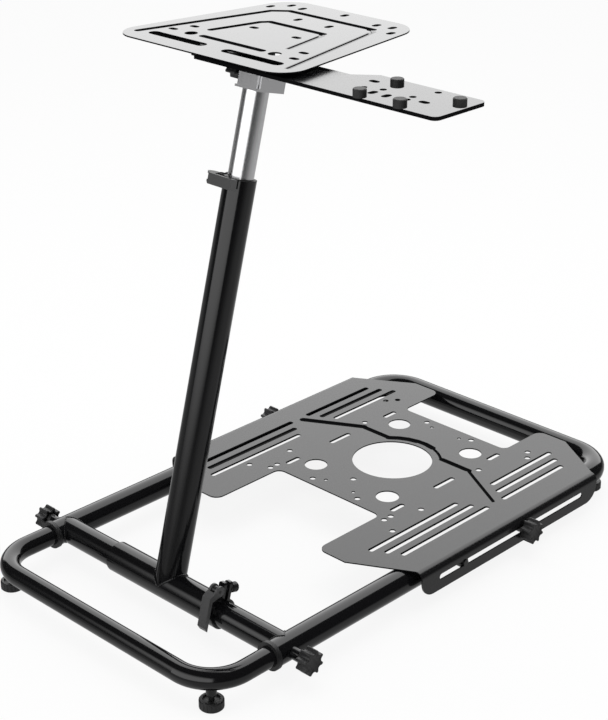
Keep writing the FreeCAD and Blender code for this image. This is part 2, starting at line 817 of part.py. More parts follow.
def press_deck_groove(body):
    """The pressed line that runs over the deck and round the far side of its centre hole."""
    line = D.groove_line
    rise = line - D.centre_hole_shift
    reach = Dim(math.sqrt(D.groove_arc.value ** 2 - rise.value ** 2),
                f"sqrt({D.groove_arc.formula}^2 - {rise.formula}^2)")
    slanted = new_sketch(body, "XY", D.sheet)
    level = new_sketch(body, "XY", D.sheet)
    for side in (-1, 1):
        knee = (D.groove_knee * side, line)
        add_slot(slanted, (D.groove_end * side, 0), knee, D.groove_width)
        add_slot(level, knee, (reach * side, line), D.groove_width)
    pocket(body, slanted, D.groove_depth)
    pocket(body, level, D.groove_depth)
    arched = new_sketch(body, "XY", D.sheet)
    centre = (0, D.centre_hole_shift)
    bounds = []
    for offset in (D.groove_width / 2, -D.groove_width / 2):
        radius = D.groove_arc + offset
        share = radius / D.groove_arc
        tips = [(reach * share * side, D.centre_hole_shift + rise * share) for side in (1, -1)]
        bounds.append((add_arc(arched, centre, radius, tips[0], tips[1]), tips))
    (outer, outer_tips), (inner, inner_tips) = bounds
    for tip in (0, 1):
        cap = arched.addGeometry(Part.LineSegment(point(*outer_tips[tip]), point(*inner_tips[tip])))
        hold(arched, Sketcher.Constraint("Coincident", outer, tip + 1, cap, 1))
        hold(arched, Sketcher.Constraint("Coincident", inner, tip + 1, cap, 2))
        pin(arched, cap, 1, *outer_tips[tip])
        pin(arched, cap, 2, *inner_tips[tip])
    pocket(body, arched, D.groove_depth)


def make_pedal_plate():
    """The folded sheet that pedals bolt to; its flanges hang outside the arms."""
    body = new_body("pedal_plate")
    flat = new_sketch(body, "XY")
    add_polygon(flat, deck_outline())
    pad(body, flat, D.sheet)
    near, far = -D.wing_near.value, D.wing_far.value
    inner = D.wing_inner.value

    def at_wing_end(middle):
        return abs(abs(middle.x) - inner) < 1 and (abs(middle.y - near) < 1 or abs(middle.y - far) < 1)

    def at_notch(middle):
        return abs(abs(middle.x) - inner) < 1 and not at_wing_end(middle)

    round_edges(body, "Z", D.wing_corner, at_wing_end)
    round_edges(body, "Z", D.notch_corner, at_notch)
    section = new_sketch(body, "XZ", D.flange_near)
    for side in (-1, 1):
        fold_section(section, side)
    pad(body, section, D.flange_near + D.flange_far, reverse=True)
    foot = -D.flange_drop.value
    round_edges(body, "X", D.flange_corner, lambda middle: abs(middle.z - foot) < 0.5)
    guide = new_sketch(body, "YZ", FLANGE_OUT)
    half = D.flange_slot_width / 2
    rail = -(ARM_R + D.slide_gap)
    add_slot(guide, (half - D.flange_slot_near, rail), (D.flange_slot_far - half, rail), D.flange_slot_width)
    pocket(body, guide, 2 * FLANGE_OUT)
    cut_deck_slots(body)
    cut_deck_holes(body)
    press_deck_groove(body)
    place(body, 0, D.deck_place, DECK_BOTTOM)


def make_sleeve():
    """The sleeve that turns on the cross tube, with its split and clamp ears at the right end."""
    body = new_body("tilt_sleeve")
    ring = new_sketch(body, "YZ")
    add_circle(ring, 0, 0, D.sleeve_od)
    add_circle(ring, 0, 0, D.arm_od + 2 * D.slide_gap)
    pad(body, ring, 2 * D.sleeve_half, middle=True)
    inside = ARM_R + 2 * D.slide_gap
    ears = new_sketch(body, "YZ", D.sleeve_half)
    for side in (-1, 1):
        add_box(ears, EAR_OUT * side, inside, D.split / 2 * side, SLEEVE_R + D.ear_reach)
    pad(body, ears, D.ear_width, reverse=True)
    top = SLEEVE_R.value + D.ear_reach.value
    round_edges(body, "Y", D.ear_width / 3, lambda middle: abs(middle.z - top) < 0.5)
    split = new_sketch(body, "YZ", D.sleeve_half)
    add_box(split, -D.split / 2, 0, D.split / 2, SLEEVE_R + D.ear_reach)
    pocket(body, split, D.ear_width + D.split_run)
    bolt = new_sketch(body, "XZ")
    add_circle(bolt, D.sleeve_half - D.ear_width / 2, BOLT_UP, D.bolt_od + 2 * D.pin_gap)
    pocket(body, bolt, 4 * EAR_OUT, middle=True)
    place_on_post(body)


def make_post():
    """The lower post tube, coped to the sleeve, with a split and clamp ears at its top."""
    body = new_body("post_tube")
    ring = new_sketch(body, "XY", D.ear_sheet)
    add_circle(ring, 0, 0, D.post_od)
    pad(body, ring, D.post_length - D.ear_sheet)
    ears = new_sketch(body, "XY", D.post_length - D.ear_width)
    for side in (-1, 1):
        add_box(ears, -(POST_R + D.ear_reach), EAR_OUT * side, 0, D.split / 2 * side)
    pad(body, ears, D.ear_width)
    tip = -(POST_R.value + D.ear_reach.value)
    round_edges(body, "Y", D.ear_width / 3, lambda middle: abs(middle.x - tip) < 0.5)
    bore = new_sketch(body, "XY", D.post_length)
    add_circle(bore, 0, 0, D.post_od - 2 * D.post_wall)
    pocket(body, bore, D.post_length)
    cope = new_sketch(body, "YZ", POST_R)
    add_circle(cope, 0, 0, D.sleeve_od)
    pocket(body, cope, D.post_od)
    split = new_sketch(body, "XY", D.post_length)
    add_box(split, -(POST_R + D.ear_reach), -D.split / 2, 0, D.split / 2)
    pocket(body, split, D.ear_width + D.split_run)
    bolt = new_sketch(body, "XZ")
    add_circle(bolt, -BOLT_UP, D.post_length - D.ear_width / 2, D.bolt_od + 2 * D.pin_gap)
    pocket(body, bolt, 4 * EAR_OUT, middle=True)
    place_on_post(body)


def make_liner():
    """The plastic bush in the top of the post that the mast slides in."""
    bore = D.mast_od / 2 + D.slide_gap
    plug = POST_R - D.post_wall - D.pin_gap
    outline = [(bore, -D.liner_plug), (plug, -D.liner_plug), (plug, 0), (POST_R, 0),
               (POST_R, D.liner_rim), (bore, D.liner_rim)]
    place_on_post(revolved("post_liner", outline), D.post_length)


def place_clamp(body, name):
    """Put a clamp piece on its split: its X is the tube's axis and its Z points up the ears."""
    if name == "tilt":
        middle = D.sleeve_half - D.ear_width / 2
        place(body, middle, 0, D.arm_height, "X", -D.lean)
        return
    reach = D.post_length - D.ear_width / 2
    spot = (as_dim(0) - DATUM_X, reach * sine(D.lean) - DATUM_Y, D.arm_height + reach * cosine(D.lean))
    base = "; ".join(size.formula for size in spot)
    lean = f"rotation(vector(1; 0; 0); 0deg - {D.lean.formula} * 1deg)"
    body.setExpression("Placement", f"placement(vector({base}); {lean} * rotation(vector(0; 1; 0); -90deg))")


def make_clamp_bolt(name):
    """The eye bolt of a clamp with its cross pin, rod and thumb nut."""
    body = new_body(f"{name}_clamp_bolt")
    eye = new_sketch(body, "YZ")
    add_circle(eye, -CAM_Y, BOLT_UP, D.bolt_eye_od)
    pad(body, eye, D.bolt_eye_width, middle=True)
    cross_pin = new_sketch(body, "YZ")
    add_circle(cross_pin, -CAM_Y, BOLT_UP, D.cam_pin_od)
    pad(body, cross_pin, D.lever_width, middle=True)
    rod = new_sketch(body, "XZ", CAM_Y)
    add_circle(rod, 0, BOLT_UP, D.bolt_od)
    pad(body, rod, CAM_Y + EAR_OUT + D.bolt_nut, reverse=True)
    nut = new_sketch(body, "XZ", -EAR_OUT)
    add_circle(nut, 0, BOLT_UP, D.bolt_nut_od)
    pad(body, nut, D.bolt_nut, reverse=True)
    place_clamp(body, name)


def make_clamp_lever(name):
    """The cam lever of a clamp: a forked round head and a flat arm that passes before the tube."""
    body = new_body(f"{name}_lever")
    head = new_sketch(body, "YZ")
    add_circle(head, -CAM_Y, BOLT_UP, D.cam_od)
    pad(body, head, D.lever_width, middle=True)
    near_face = SLEEVE_R + D.lever_clear
    far_face = near_face + D.lever_thick
    shoulder = BOLT_UP - D.cam_od / 2
    arm = new_sketch(body, "YZ")
    add_polygon(arm, [(-CAM_Y, BOLT_UP + D.cam_od / 2), (-far_face, shoulder),
                      (-far_face, D.lever_thick - D.lever_tail),
                      (-near_face, -D.lever_tail), (-near_face, shoulder - D.lever_thick),
                      (-CAM_Y, shoulder)])
    pad(body, arm, D.lever_width, middle=True)
    fork = new_sketch(body, "YZ")
    reach = D.cam_od / 2 + D.lever_clear / 4
    add_circle(fork, -CAM_Y, BOLT_UP, 2 * reach)
    pocket(body, fork, D.bolt_eye_width + 2 * D.slide_gap, middle=True)
    bore = new_sketch(body, "YZ")
    add_circle(bore, -CAM_Y, BOLT_UP, D.cam_pin_od + 2 * D.pin_gap)
    pocket(body, bore, 2 * D.lever_width, middle=True)
    place_clamp(body, name)


def make_mast():
    """The chrome tube that slides in the post."""
    body = new_body("mast_tube")
    foot = D.post_length - D.mast_insert
    ring = new_sketch(body, "XY", foot)
    add_circle(ring, 0, 0, D.mast_od)
    add_circle(ring, 0, 0, D.mast_od - 2 * D.mast_wall)
    pad(body, ring, MAST_TOP - foot)
    place_on_post(body)


def make_head_bracket():
    """The folded clevis on the mast: a base, a front flap and two ears for the pivot."""
    body = new_body("head_bracket")
    base = new_sketch(body, "XY")
    add_box(base, -HEAD_HALF, -D.head_front, HEAD_HALF, D.head_rear)
    pad(body, base, D.head_sheet)
    flap = new_sketch(body, "XY")
    flap_half = HEAD_HALF - D.head_sheet - D.head_slit
    add_box(flap, -flap_half, -D.head_front, flap_half, D.head_sheet - D.head_front)
    pad(body, flap, D.head_flap)
    front = D.head_sheet + D.head_slit - D.head_front
    crown = D.pivot_rise + D.head_ear_top
    profile = [(front, 0), (D.head_rear, 0), (D.head_rear, D.head_ear_rear), (D.head_ear_crown, crown),
               (-D.head_ear_crown, crown), (front, crown - D.head_sheet)]
    for side in (-1, 1):
        ear = new_sketch(body, "YZ", (HEAD_HALF - D.head_sheet) * side)
        add_polygon(ear, profile)
        pad(body, ear, D.head_sheet, reverse=side < 0)
    pivot = new_sketch(body, "YZ", HEAD_HALF)
    add_circle(pivot, 0, D.pivot_rise, D.bolt_od + 2 * D.pin_gap)
    pocket(body, pivot, D.head_width)
    place_on_post(body, MAST_TOP)


def make_pivot():
    """The tilt bolt through the clevis and the knob that locks it."""
    rod, head = D.bolt_od / 2, D.pivot_head_od / 2
    outline = [(0, -D.head_width), (rod, -D.head_width), (rod, 0), (head, 0), (head, D.pivot_head),
               (0, D.pivot_head)]
    bolt = revolved("pivot_bolt", outline)
    reach, rise = PIVOT_T * sine(D.lean), D.arm_height + PIVOT_T * cosine(D.lean)
    place(bolt, HEAD_HALF, reach, rise, "Y", 90)
    knob = make_knob("tilt_knob", D.tilt_knob_skirt)
    place(knob, -(HEAD_HALF + D.tilt_knob_skirt), reach, rise, "Y", -90)


def make_tilt_bracket():
    """The carrier under the plates with two ears that turn on the tilt bolt."""
    body = new_body("tilt_bracket")
    carrier = new_sketch(body, "XY", D.carrier_rise)
    add_box(carrier, -D.carrier_half, -D.carrier_near, D.carrier_half, D.carrier_far)
    pad(body, carrier, D.carrier_sheet)
    outer = HEAD_HALF - D.head_sheet - D.tilt_ear_gap
    half = D.tilt_ear_width / 2
    for side in (-1, 1):
        ear = new_sketch(body, "YZ", outer * side)
        add_box(ear, -half, 0, half, D.carrier_rise)
        pad(body, ear, D.tilt_ear_sheet, reverse=side > 0)
        tip = new_sketch(body, "YZ", outer * side)
        add_circle(tip, 0, 0, D.tilt_ear_width)
        pad(body, tip, D.tilt_ear_sheet, reverse=side > 0)
    pivot = new_sketch(body, "YZ", HEAD_HALF)
    add_circle(pivot, 0, 0, D.bolt_od + 2 * D.pin_gap)
    pocket(body, pivot, D.head_width)
    place_on_top(body)


def make_spacers():
    """Four round spacers between the carrier, or the side plate, and the main plate."""
    ends = (("near", -D.spacer_near), ("far", D.spacer_far))
    for end, y in ends:
        for name, side in SIDES:
            body = new_body(f"plate_spacer_{end}_{name}")
            on_side_plate = end == "near" and name == "right"
            seat = SIDE_TOP if on_side_plate else SIDE_BOTTOM
            ring = new_sketch(body, "XY", seat)
            add_circle(ring, D.spacer_across / 2 * side, y, D.spacer_od)
            pad(body, ring, MAIN_BOTTOM - seat)
            place_on_top(body)


def make_side_plate():
    """The plate that reaches out to the right under the main one."""
    body = new_body("side_plate")
    outline = new_sketch(body, "XY", SIDE_BOTTOM)
    jog = D.side_jog + D.side_jog_run
    add_polygon(outline, [(D.side_start, -D.side_near), (D.side_end, -D.side_near),
                          (D.side_end, -D.side_wide), (jog, -D.side_wide), (D.side_jog, -D.side_far),
                          (D.side_start, -D.side_far)])
    pad(body, outline, D.side_sheet)
    end = D.side_end.value
    round_edges(body, "Z", D.side_corner, lambda middle: abs(middle.x - end) < 1)
    cuts = new_sketch(body, "XY", SIDE_TOP)
    middle = D.side_slot_end - D.side_slot_length / 2
    for y in (-D.side_slot_near, -D.side_slot_far):
        add_slot_along(cuts, middle, y, D.side_slot_length, D.slot_width, "X")
    for name, direction in (("far", "X"), ("end", "X"), ("left", "Y"), ("right", "Y")):
        add_slot_along(cuts, *spot(f"side_mark_{name}"), D.mark_length, D.mark_width, direction)
    for name in ("first", "second", "third", "far", "near"):
        add_circle(cuts, *spot(f"side_hole_{name}"), D.side_hole)
    pocket(body, cuts, D.side_sheet)
    place_on_top(body)


def make_bumpers():
    """Four rubber bumpers on the side plate."""
    rim, edge, top = D.bumper_od / 2, D.bumper_edge, D.bumper_height
    outline = [(0, 0), (rim, 0), (rim, top - edge), (rim - edge, top), (0, top)]
    pivot_y = PIVOT_T * sine(D.lean)
    seat = D.arm_height + PIVOT_T * cosine(D.lean) + SIDE_TOP
    for index, name in enumerate(("far", "left", "right", "end"), start=1):
        x, y = spot(f"bumper_{name}")
        body = revolved(f"bumper_{index}", outline)
        place(body, x, pivot_y + y, seat)


def make_main_plate():
    """The plate for the stick: a rounded trapezoid with slots, holes and pressed lines."""
    body = new_body("main_plate")
    outline = new_sketch(body, "XY", MAIN_BOTTOM)
    near, far = -D.main_near, D.main_far
    add_polygon(outline, [(-D.main_near_half, near), (D.main_near_half, near), (D.main_far_half, far),
                          (-D.main_far_half, far)])
    pad(body, outline, D.main_sheet)
    round_edges(body, "Z", D.main_near_corner, lambda middle: abs(middle.y - near.value) < 1)
    round_edges(body, "Z", D.main_far_corner, lambda middle: abs(middle.y - far.value) < 1)
    top = MAIN_BOTTOM + D.main_sheet
    cuts = new_sketch(body, "XY", top)
    marks = (("near_outer", "X"), ("near_inner", "X"), ("far_outer", "Y"), ("far_edge", "Y"),
             ("far_inner", "Y"), ("middle_far", "Y"), ("middle", "X"))
    for side in (-1, 1):
        x = D.main_slot_across / 2 * side
        add_slot_along(cuts, x, -D.main_slot_place, D.main_slot_length, D.main_slot_width, "X")
        add_circle(cuts, D.main_hole_across / 2 * side, -D.main_hole_place, D.main_hole)
        for name, direction in marks:
            add_slot_along(cuts, *spot(f"mark_{name}", side), D.mark_length, D.mark_width, direction)
    add_slot_along(cuts, *spot("mark_far_centre"), D.mark_length, D.mark_width, "Y")
    pocket(body, cuts, D.main_sheet)
    press_main_lines(body, top)
    place_on_top(body)


def press_main_lines(body, top):
    """Two nested lines pressed in the main plate, open towards the near edge."""
    runs = new_sketch(body, "XY", top)
    corners = new_sketch(body, "XY", top)
    for frame in ("outer", "inner"):
        shoulders = []
        for side in (-1, 1):
            start, knee, shoulder = [spot(f"{frame}_line_{end}", side) for end in ("start", "knee", "shoulder")]
            add_slot(runs, start, knee, D.line_width)
            add_slot(corners, knee, shoulder, D.line_width)
            shoulders.append(shoulder)
        add_slot(runs, *shoulders, D.line_width)
    near = -D.main_hole_place
    add_slot(runs, (-D.near_line_half, near), (D.near_line_half, near), D.line_width)
    pocket(body, runs, D.line_depth)
    pocket(body, corners, D.line_depth)


def check_and_write():
    """Stop on any failed feature or bad solid, then write each sub-part."""
    for item in doc.Objects:
        if "Invalid" in item.State or "Error" in item.State:
            raise RuntimeError(f"{item.Label} failed: {item.State}")
    for part in parts:
        shape = part.Shape
        if shape.isNull() or not shape.isValid() or shape.Volume <= 0:
            raise RuntimeError(f"{part.Label} has no valid solid")
        if len(shape.Solids) != 1:
            raise RuntimeError(f"{part.Label} has {len(shape.Solids)} solids")
    os.makedirs("parts", exist_ok=True)
    for part in parts:
        part.Shape.exportStep(os.path.join("parts", f"{part.Label}.step"))


bent_tube("rear_frame_tube", ARM_X, -D.arm_overhang, D.rear_reach, D.rear_bend, D.arm_od, D.arm_wall,
          bosses=(as_dim(0), D.guide_place, D.deck_place))
bent_tube("front_frame_tube", ARM_X, D.front_insert, -D.front_reach, D.front_bend, D.front_od, D.front_wall)
make_cross_tube()
make_collars()
make_feet()
make_side_knobs()
make_guide_pins()
make_pedal_plate()
make_sleeve()
make_post()
make_liner()
for clamp in ("tilt", "height"):
    make_clamp_bolt(clamp)
    make_clamp_lever(clamp)
make_mast()
make_head_bracket()
make_pivot()
make_tilt_bracket()
make_side_plate()
make_bumpers()
make_spacers()
make_main_plate()
doc.recompute()
check_and_write()
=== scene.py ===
"""Dress the flight stick stand: its finishes, small fittings, floor, light and camera."""
import math

import bmesh
import bpy
from mathutils import Matrix, Vector


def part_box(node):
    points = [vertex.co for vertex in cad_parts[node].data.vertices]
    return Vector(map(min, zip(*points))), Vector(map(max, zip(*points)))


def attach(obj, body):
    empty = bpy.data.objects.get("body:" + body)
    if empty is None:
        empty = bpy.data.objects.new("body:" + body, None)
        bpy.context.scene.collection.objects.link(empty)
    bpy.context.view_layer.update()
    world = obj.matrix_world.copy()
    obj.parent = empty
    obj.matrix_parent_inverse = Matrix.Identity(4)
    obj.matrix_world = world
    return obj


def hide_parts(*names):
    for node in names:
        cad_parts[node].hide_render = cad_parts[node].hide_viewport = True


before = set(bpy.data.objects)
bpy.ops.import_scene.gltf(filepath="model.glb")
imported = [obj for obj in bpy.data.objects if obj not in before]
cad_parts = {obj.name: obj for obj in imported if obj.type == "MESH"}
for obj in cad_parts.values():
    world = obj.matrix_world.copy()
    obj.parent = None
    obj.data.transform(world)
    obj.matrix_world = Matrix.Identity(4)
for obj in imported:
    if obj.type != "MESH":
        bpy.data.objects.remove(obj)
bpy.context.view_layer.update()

bl_info = {
    "name": "Flight stick stand dressing",
    "version": (1, 0, 0),
    "blender": (4, 5, 0),
    "location": "View3D > Sidebar > Stand",
    "description": "Finishes, small fittings and studio for the flight stick stand",
    "category": "Object",
}

MM = 0.001
SIDES = ("left", "right")


def middle_of(node):
    """The middle of a carried-over piece's box."""
    low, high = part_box(node)
    return (low + high) / 2


# Places that the fittings take from the carried-over pieces
CROSS_AXIS = middle_of("cross_tube")
ARM_X = {side: middle_of(f"arm_collar_{side}").x for side in SIDES}
PIVOT = Vector((CROSS_AXIS.x, middle_of("pivot_bolt").y, middle_of("pivot_bolt").z))
POST_LEAN = math.atan2(PIVOT.y - CROSS_AXIS.y, PIVOT.z - CROSS_AXIS.z)
POST_FRAME = Matrix.Translation(CROSS_AXIS) @ Matrix.Rotation(-POST_LEAN, 4, "X")
DECK_LOW, DECK_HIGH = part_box("pedal_plate")

# How far out from its middle the deck folds down
FOLD_INSET = 11.5 * MM
FOLD_REACH = (DECK_HIGH.x - DECK_LOW.x) / 2 - FOLD_INSET
# The middle of the deck's great hole, which lies behind the middle of the deck
HOLE_BEHIND = 24.0 * MM
HOLE_MIDDLE = (DECK_LOW + DECK_HIGH) / 2 + Vector((0.0, HOLE_BEHIND, 0.0))
# How far the middle of the pressed line's arc is from the hole's, in millimetres
ARC_MIDDLE = -3.5


def chain(points, width, share):
    """Straight runs from each point to the next: start, end, width, share of the coat left."""
    return [(start, end, width, share) for start, end in zip(points, points[1:])]


def arc_runs(radius, first, last, count, width, share):
    """Straight runs of painted shade along an arc of the deck's pressed line, from one angle to another in
    degrees.
    """
    angles = [math.radians(first + (last - first) * step / count) for step in range(count + 1)]
    points = [(radius * math.cos(angle), ARC_MIDDLE + radius * math.sin(angle)) for angle in angles]
    return chain(points, width, share)


# Painted shade along the deck's pressed line, as runs from its great hole in millimetres: most runs black,
# the right leg and part of the arc coated again, as light shades one side of the step
DECK_SHADE_LINES = [((-200.5, 1.0), (-111.5, 51.0), 13.0, 0.0), ((-111.0, 50.5), (-54.0, 50.5), 10.5, 0.0),
              *arc_runs(76.5, 135.0, 100.0, 3, 13.0, 0.0), *arc_runs(77.5, 100.0, 75.0, 2, 11.0, 0.0),
              *arc_runs(73.2, 72.0, 45.0, 3, 4.0, 1.0), ((57.0, 51.5), (111.0, 51.5), 10.5, 0.0),
              ((109.5, 47.4), (198.5, -2.6), 3.0, 1.0)]
# Slots of the deck on each side, from its great hole in millimetres: how far across, near end, far end
DECK_SLOTS = [(110.0, -129.35, -101.35), (110.0, -28.95, 16.55), (110.0, 101.35, 129.35),
              (166.0, -239.7, -42.2), (186.5, -227.7, -30.2), (207.0, -215.7, -18.2),
              (166.0, 40.2, 191.2), (186.5, 28.2, 179.2), (207.0, 16.2, 167.2)]
# Width of a slot, and how far to the left of its middle the painted shade on its wall lies
SLOT_WIDTH = 7.5
SLOT_WALL = 1.6


def slot_wall_shades():
    """Strips of painted shade, without coat, along the left of the deck's slots, where the rounded wall of
    each turns down.
    """
    runs = []
    for side in (-1, 1):
        for across, near, far in DECK_SLOTS:
            x = across * side - SLOT_WALL
            runs.append(((x, near + SLOT_WIDTH / 2), (x, far - SLOT_WIDTH / 2), SLOT_WIDTH, 0.0))
    return runs


# Painted shade along the pressed lines of the main plate, as runs from the pivot in millimetres: black on
# the left and across the middle, lighter on the right, and coated again at the right corners so those
# stretches show no painted shade
LIT_CORNER_LINES = [((93.0, 114.5), (73.0, 131.2), 6.0, 1.0), ((56.0, 57.5), (48.0, 67.5), 6.0, 1.0)]
HALF_SHADE_LINES = [((139.6, -87.9), (91.0, 122.0), 9.0, 0.72), ((72.3, -18.1), (56.5, 60.0), 9.0, 0.72)]
FULL_SHADE_LINES = [*chain([(-139.6, -87.9), (-93.0, 114.5), (-73.0, 131.2), (82.0, 131.2)], 11.0, 0.0),
              *chain([(-72.3, -18.1), (-56.0, 57.5), (-48.0, 67.5), (51.0, 67.5)], 11.0, 0.0),
              *chain([(-55.0, -49.2), (55.0, -49.2)], 11.0, 0.0)]
MAIN_SHADE_LINES = LIT_CORNER_LINES + HALF_SHADE_LINES + FULL_SHADE_LINES
# How gently the mask of a run starts at its edges
RUN_BLUR = 0.3 * MM
# Painted shade round the small slots, on their pressed edges, from the pivot in millimetres; the main plate
# has each on both sides
SLOT_SHADE_WIDTH = 9.5
SLOT_SHADE_REACH = 2.75
MAIN_SLOT_SHADES = {"X": [(112.6, -49.5), (101.8, -21.0), (39.5, 29.5)],
             "Y": [(112.4, 133.0), (94.3, 156.5), (69.4, 152.8), (29.0, 102.5), (0.0, 164.5)]}
SIDE_SLOT_SHADES = {"X": [(236.3, -36.7), (339.6, -64.4)], "Y": [(268.1, -74.8), (289.6, -74.6)]}
# The main plate's right edge, from the pivot: how far out it is at the pivot and how it slants
MAIN_EDGE_OUT = 141.0 * MM
MAIN_EDGE_SLANT = 0.15
# How deep below a plate's top its coat starts to thin out and is gone, leaving walls and grooves as painted
# shade, and how far grains break it up
COAT_THINS = 0.1 * MM
COAT_ENDS = 0.25 * MM
COAT_GRAIN = 0.08
RAW_ROUGHNESS = 0.6

# A black sheet of painted shade under the main plate, seen through its left slot and hole: its place from
# the pivot, and how far below the plate's top it lies
SHADE_SHEET_X = (-139.0 * MM, -12.0 * MM)
SHADE_SHEET_Y = (-94.0 * MM, -33.5 * MM)
SHADE_SHEET_CORNER = 8.0 * MM
SHADE_SHEET_DEPTH = 2.1 * MM

# How near corners are merged, how near a level counts as met, and how upright a level face's normal is
MERGE = 0.01 * MM
NEAR = 0.1 * MM
LEVEL = 0.9
# Weld beads, lock nuts, thumb nuts, washer and bolts; the thumb nuts' places are along the post
BEAD_RIPPLES = 48
LOCK_NUT_DEPTH = 4.0 * MM
LOCK_NUT_BORE = 8.2 * MM
LOCK_NUT_DROP = 8.1 * MM
GRIP_LANES = 36
GRIP_DEPTH = 9.0 * MM
GRIP_BORE = 13.05 * MM
GRIP_LAND = 0.15 * MM
GRIP_GROOVE = 0.45 * MM
THUMB_NUTS = {"tilt": (105.5 * MM, 15.5 * MM, 35.5 * MM), "height": (-35.5 * MM, 15.5 * MM, 580.0 * MM)}
WASHER_DEPTH = 1.2 * MM
WASHER_BORE = 13.2 * MM
BOLT_DEPTH = 4.0 * MM
BOLT_CROWN = 0.5 * MM
BOLT_CROWN_INSET = 1.6 * MM
BOLT_FLANGE = 0.6 * MM
BOLT_FLANGE_GROWTH = 1.35
BOLT_DROP = 6.6 * MM

# Star knobs: the nodes that they stand for, the length of their hubs, and the body that carries them
STAR_KNOBS = (
    (("front_lock_knob_left", "front_lock_knob_right"), 5.6 * MM, "base"),
    (("pedal_knob_left", "pedal_knob_right"), 3.0 * MM, "base"),
    (("tilt_knob",), 8.3 * MM, "mast"),
)
KNOB_LOBES = 8
LOBE_COLUMNS = 12
KNOB_HUB = 18.0 * MM
KNOB_STUD = 8.0 * MM
KNOB_DISH = 0.8 * MM
KNOB_EDGE = 0.6 * MM
KNOB_FACE_SHARE = 0.82
KNOB_HOLLOW_SHARE = 0.78
KNOB_FLOOR_SHARE = 0.5

BUMPERS = [f"bumper_{number}" for number in range(1, 5)]
SPACERS = [f"plate_spacer_{end}_{side}" for end in ("near", "far") for side in SIDES]
# What each finish is put on
FINISHED_NODES = {
    "tube_paint": ["rear_frame_tube", "cross_tube", "front_frame_tube", "tilt_sleeve", "post_tube"],
    "deck_coat": ["pedal_plate"],
    "main_coat": ["main_plate"],
    "side_coat": ["side_plate"],
    "bracket_coat": ["tilt_bracket"],
    "chrome_tube": ["mast_tube"],
    "satin_silver": ["head_bracket"],
    "dark_steel": ["tilt_clamp_bolt", "height_clamp_bolt", "pivot_bolt", "deck_guide_pin_left",
                   "deck_guide_pin_right"],
    "lever_steel": ["tilt_lever", "height_lever"],
    "moulded_black": ["arm_collar_left", "arm_collar_right", "post_liner", "rear_foot_left",
                      "rear_foot_right", "front_foot_left", "front_foot_right",
                      *(node for nodes, _, _ in STAR_KNOBS for node in nodes)],
    "bumper_rubber": BUMPERS + SPACERS,
}
FINISH_NAMES = {
    "tube_paint": "Tube paint", "deck_coat": "Deck coat", "main_coat": "Main plate coat",
    "side_coat": "Side plate coat", "bracket_coat": "Bracket coat", "chrome_tube": "Chrome",
    "satin_silver": "Satin silver", "dark_steel": "Dark steel", "lever_steel": "Lever steel",
    "moulded_black": "Moulded black", "bumper_rubber": "Rubber",
    "shade_sheet_black": "Shade sheet black", "bright_zinc": "Bright zinc",
}

# The studio hangs so far off that every part of the stand sees it in the same directions. Edges of its
# panels are pairs, where a direction starts to be lit and where it is fully lit.
STUDIO_REACH = 200.0
# The panel overhead: how far its near and right edges slant with height, and its edges
PANEL_NEAR_SLANT = 0.13
PANEL_RIGHT_SLANT = 0.31
PANEL_NEAR = (0.0, 0.05)
PANEL_RIGHT = (0.0, 0.06)
PANEL_LOW = (0.02, 0.16)
# The panel in front, on an upright plane: the slant of its left edge, and its edges
KEY_SLANT = 0.5
KEY_FRONT = (0.02, 0.1)
KEY_LEFT = (-0.80, -0.60)
KEY_RIGHT = (-1.14, -0.98)
KEY_LOW = (-0.12, 0.08)
KEY_TOP = (-1.3, -0.55)
# Bounce from below: where the left kind turns to the right kind, and the edge and share of each step
BOUNCE_TURN = (-0.2, 0.2)
BOUNCE_RIGHT = [((0.04, 0.28), 0.8)]
BOUNCE_LEFT = [((0.0, 0.1), 0.5), ((0.2, 0.45), 0.6)]
# The soft box above the stand
TOP_BOX_PLACE = Vector((-0.2, 0.2, 2.6))
TOP_BOX_SIDE = 2.6


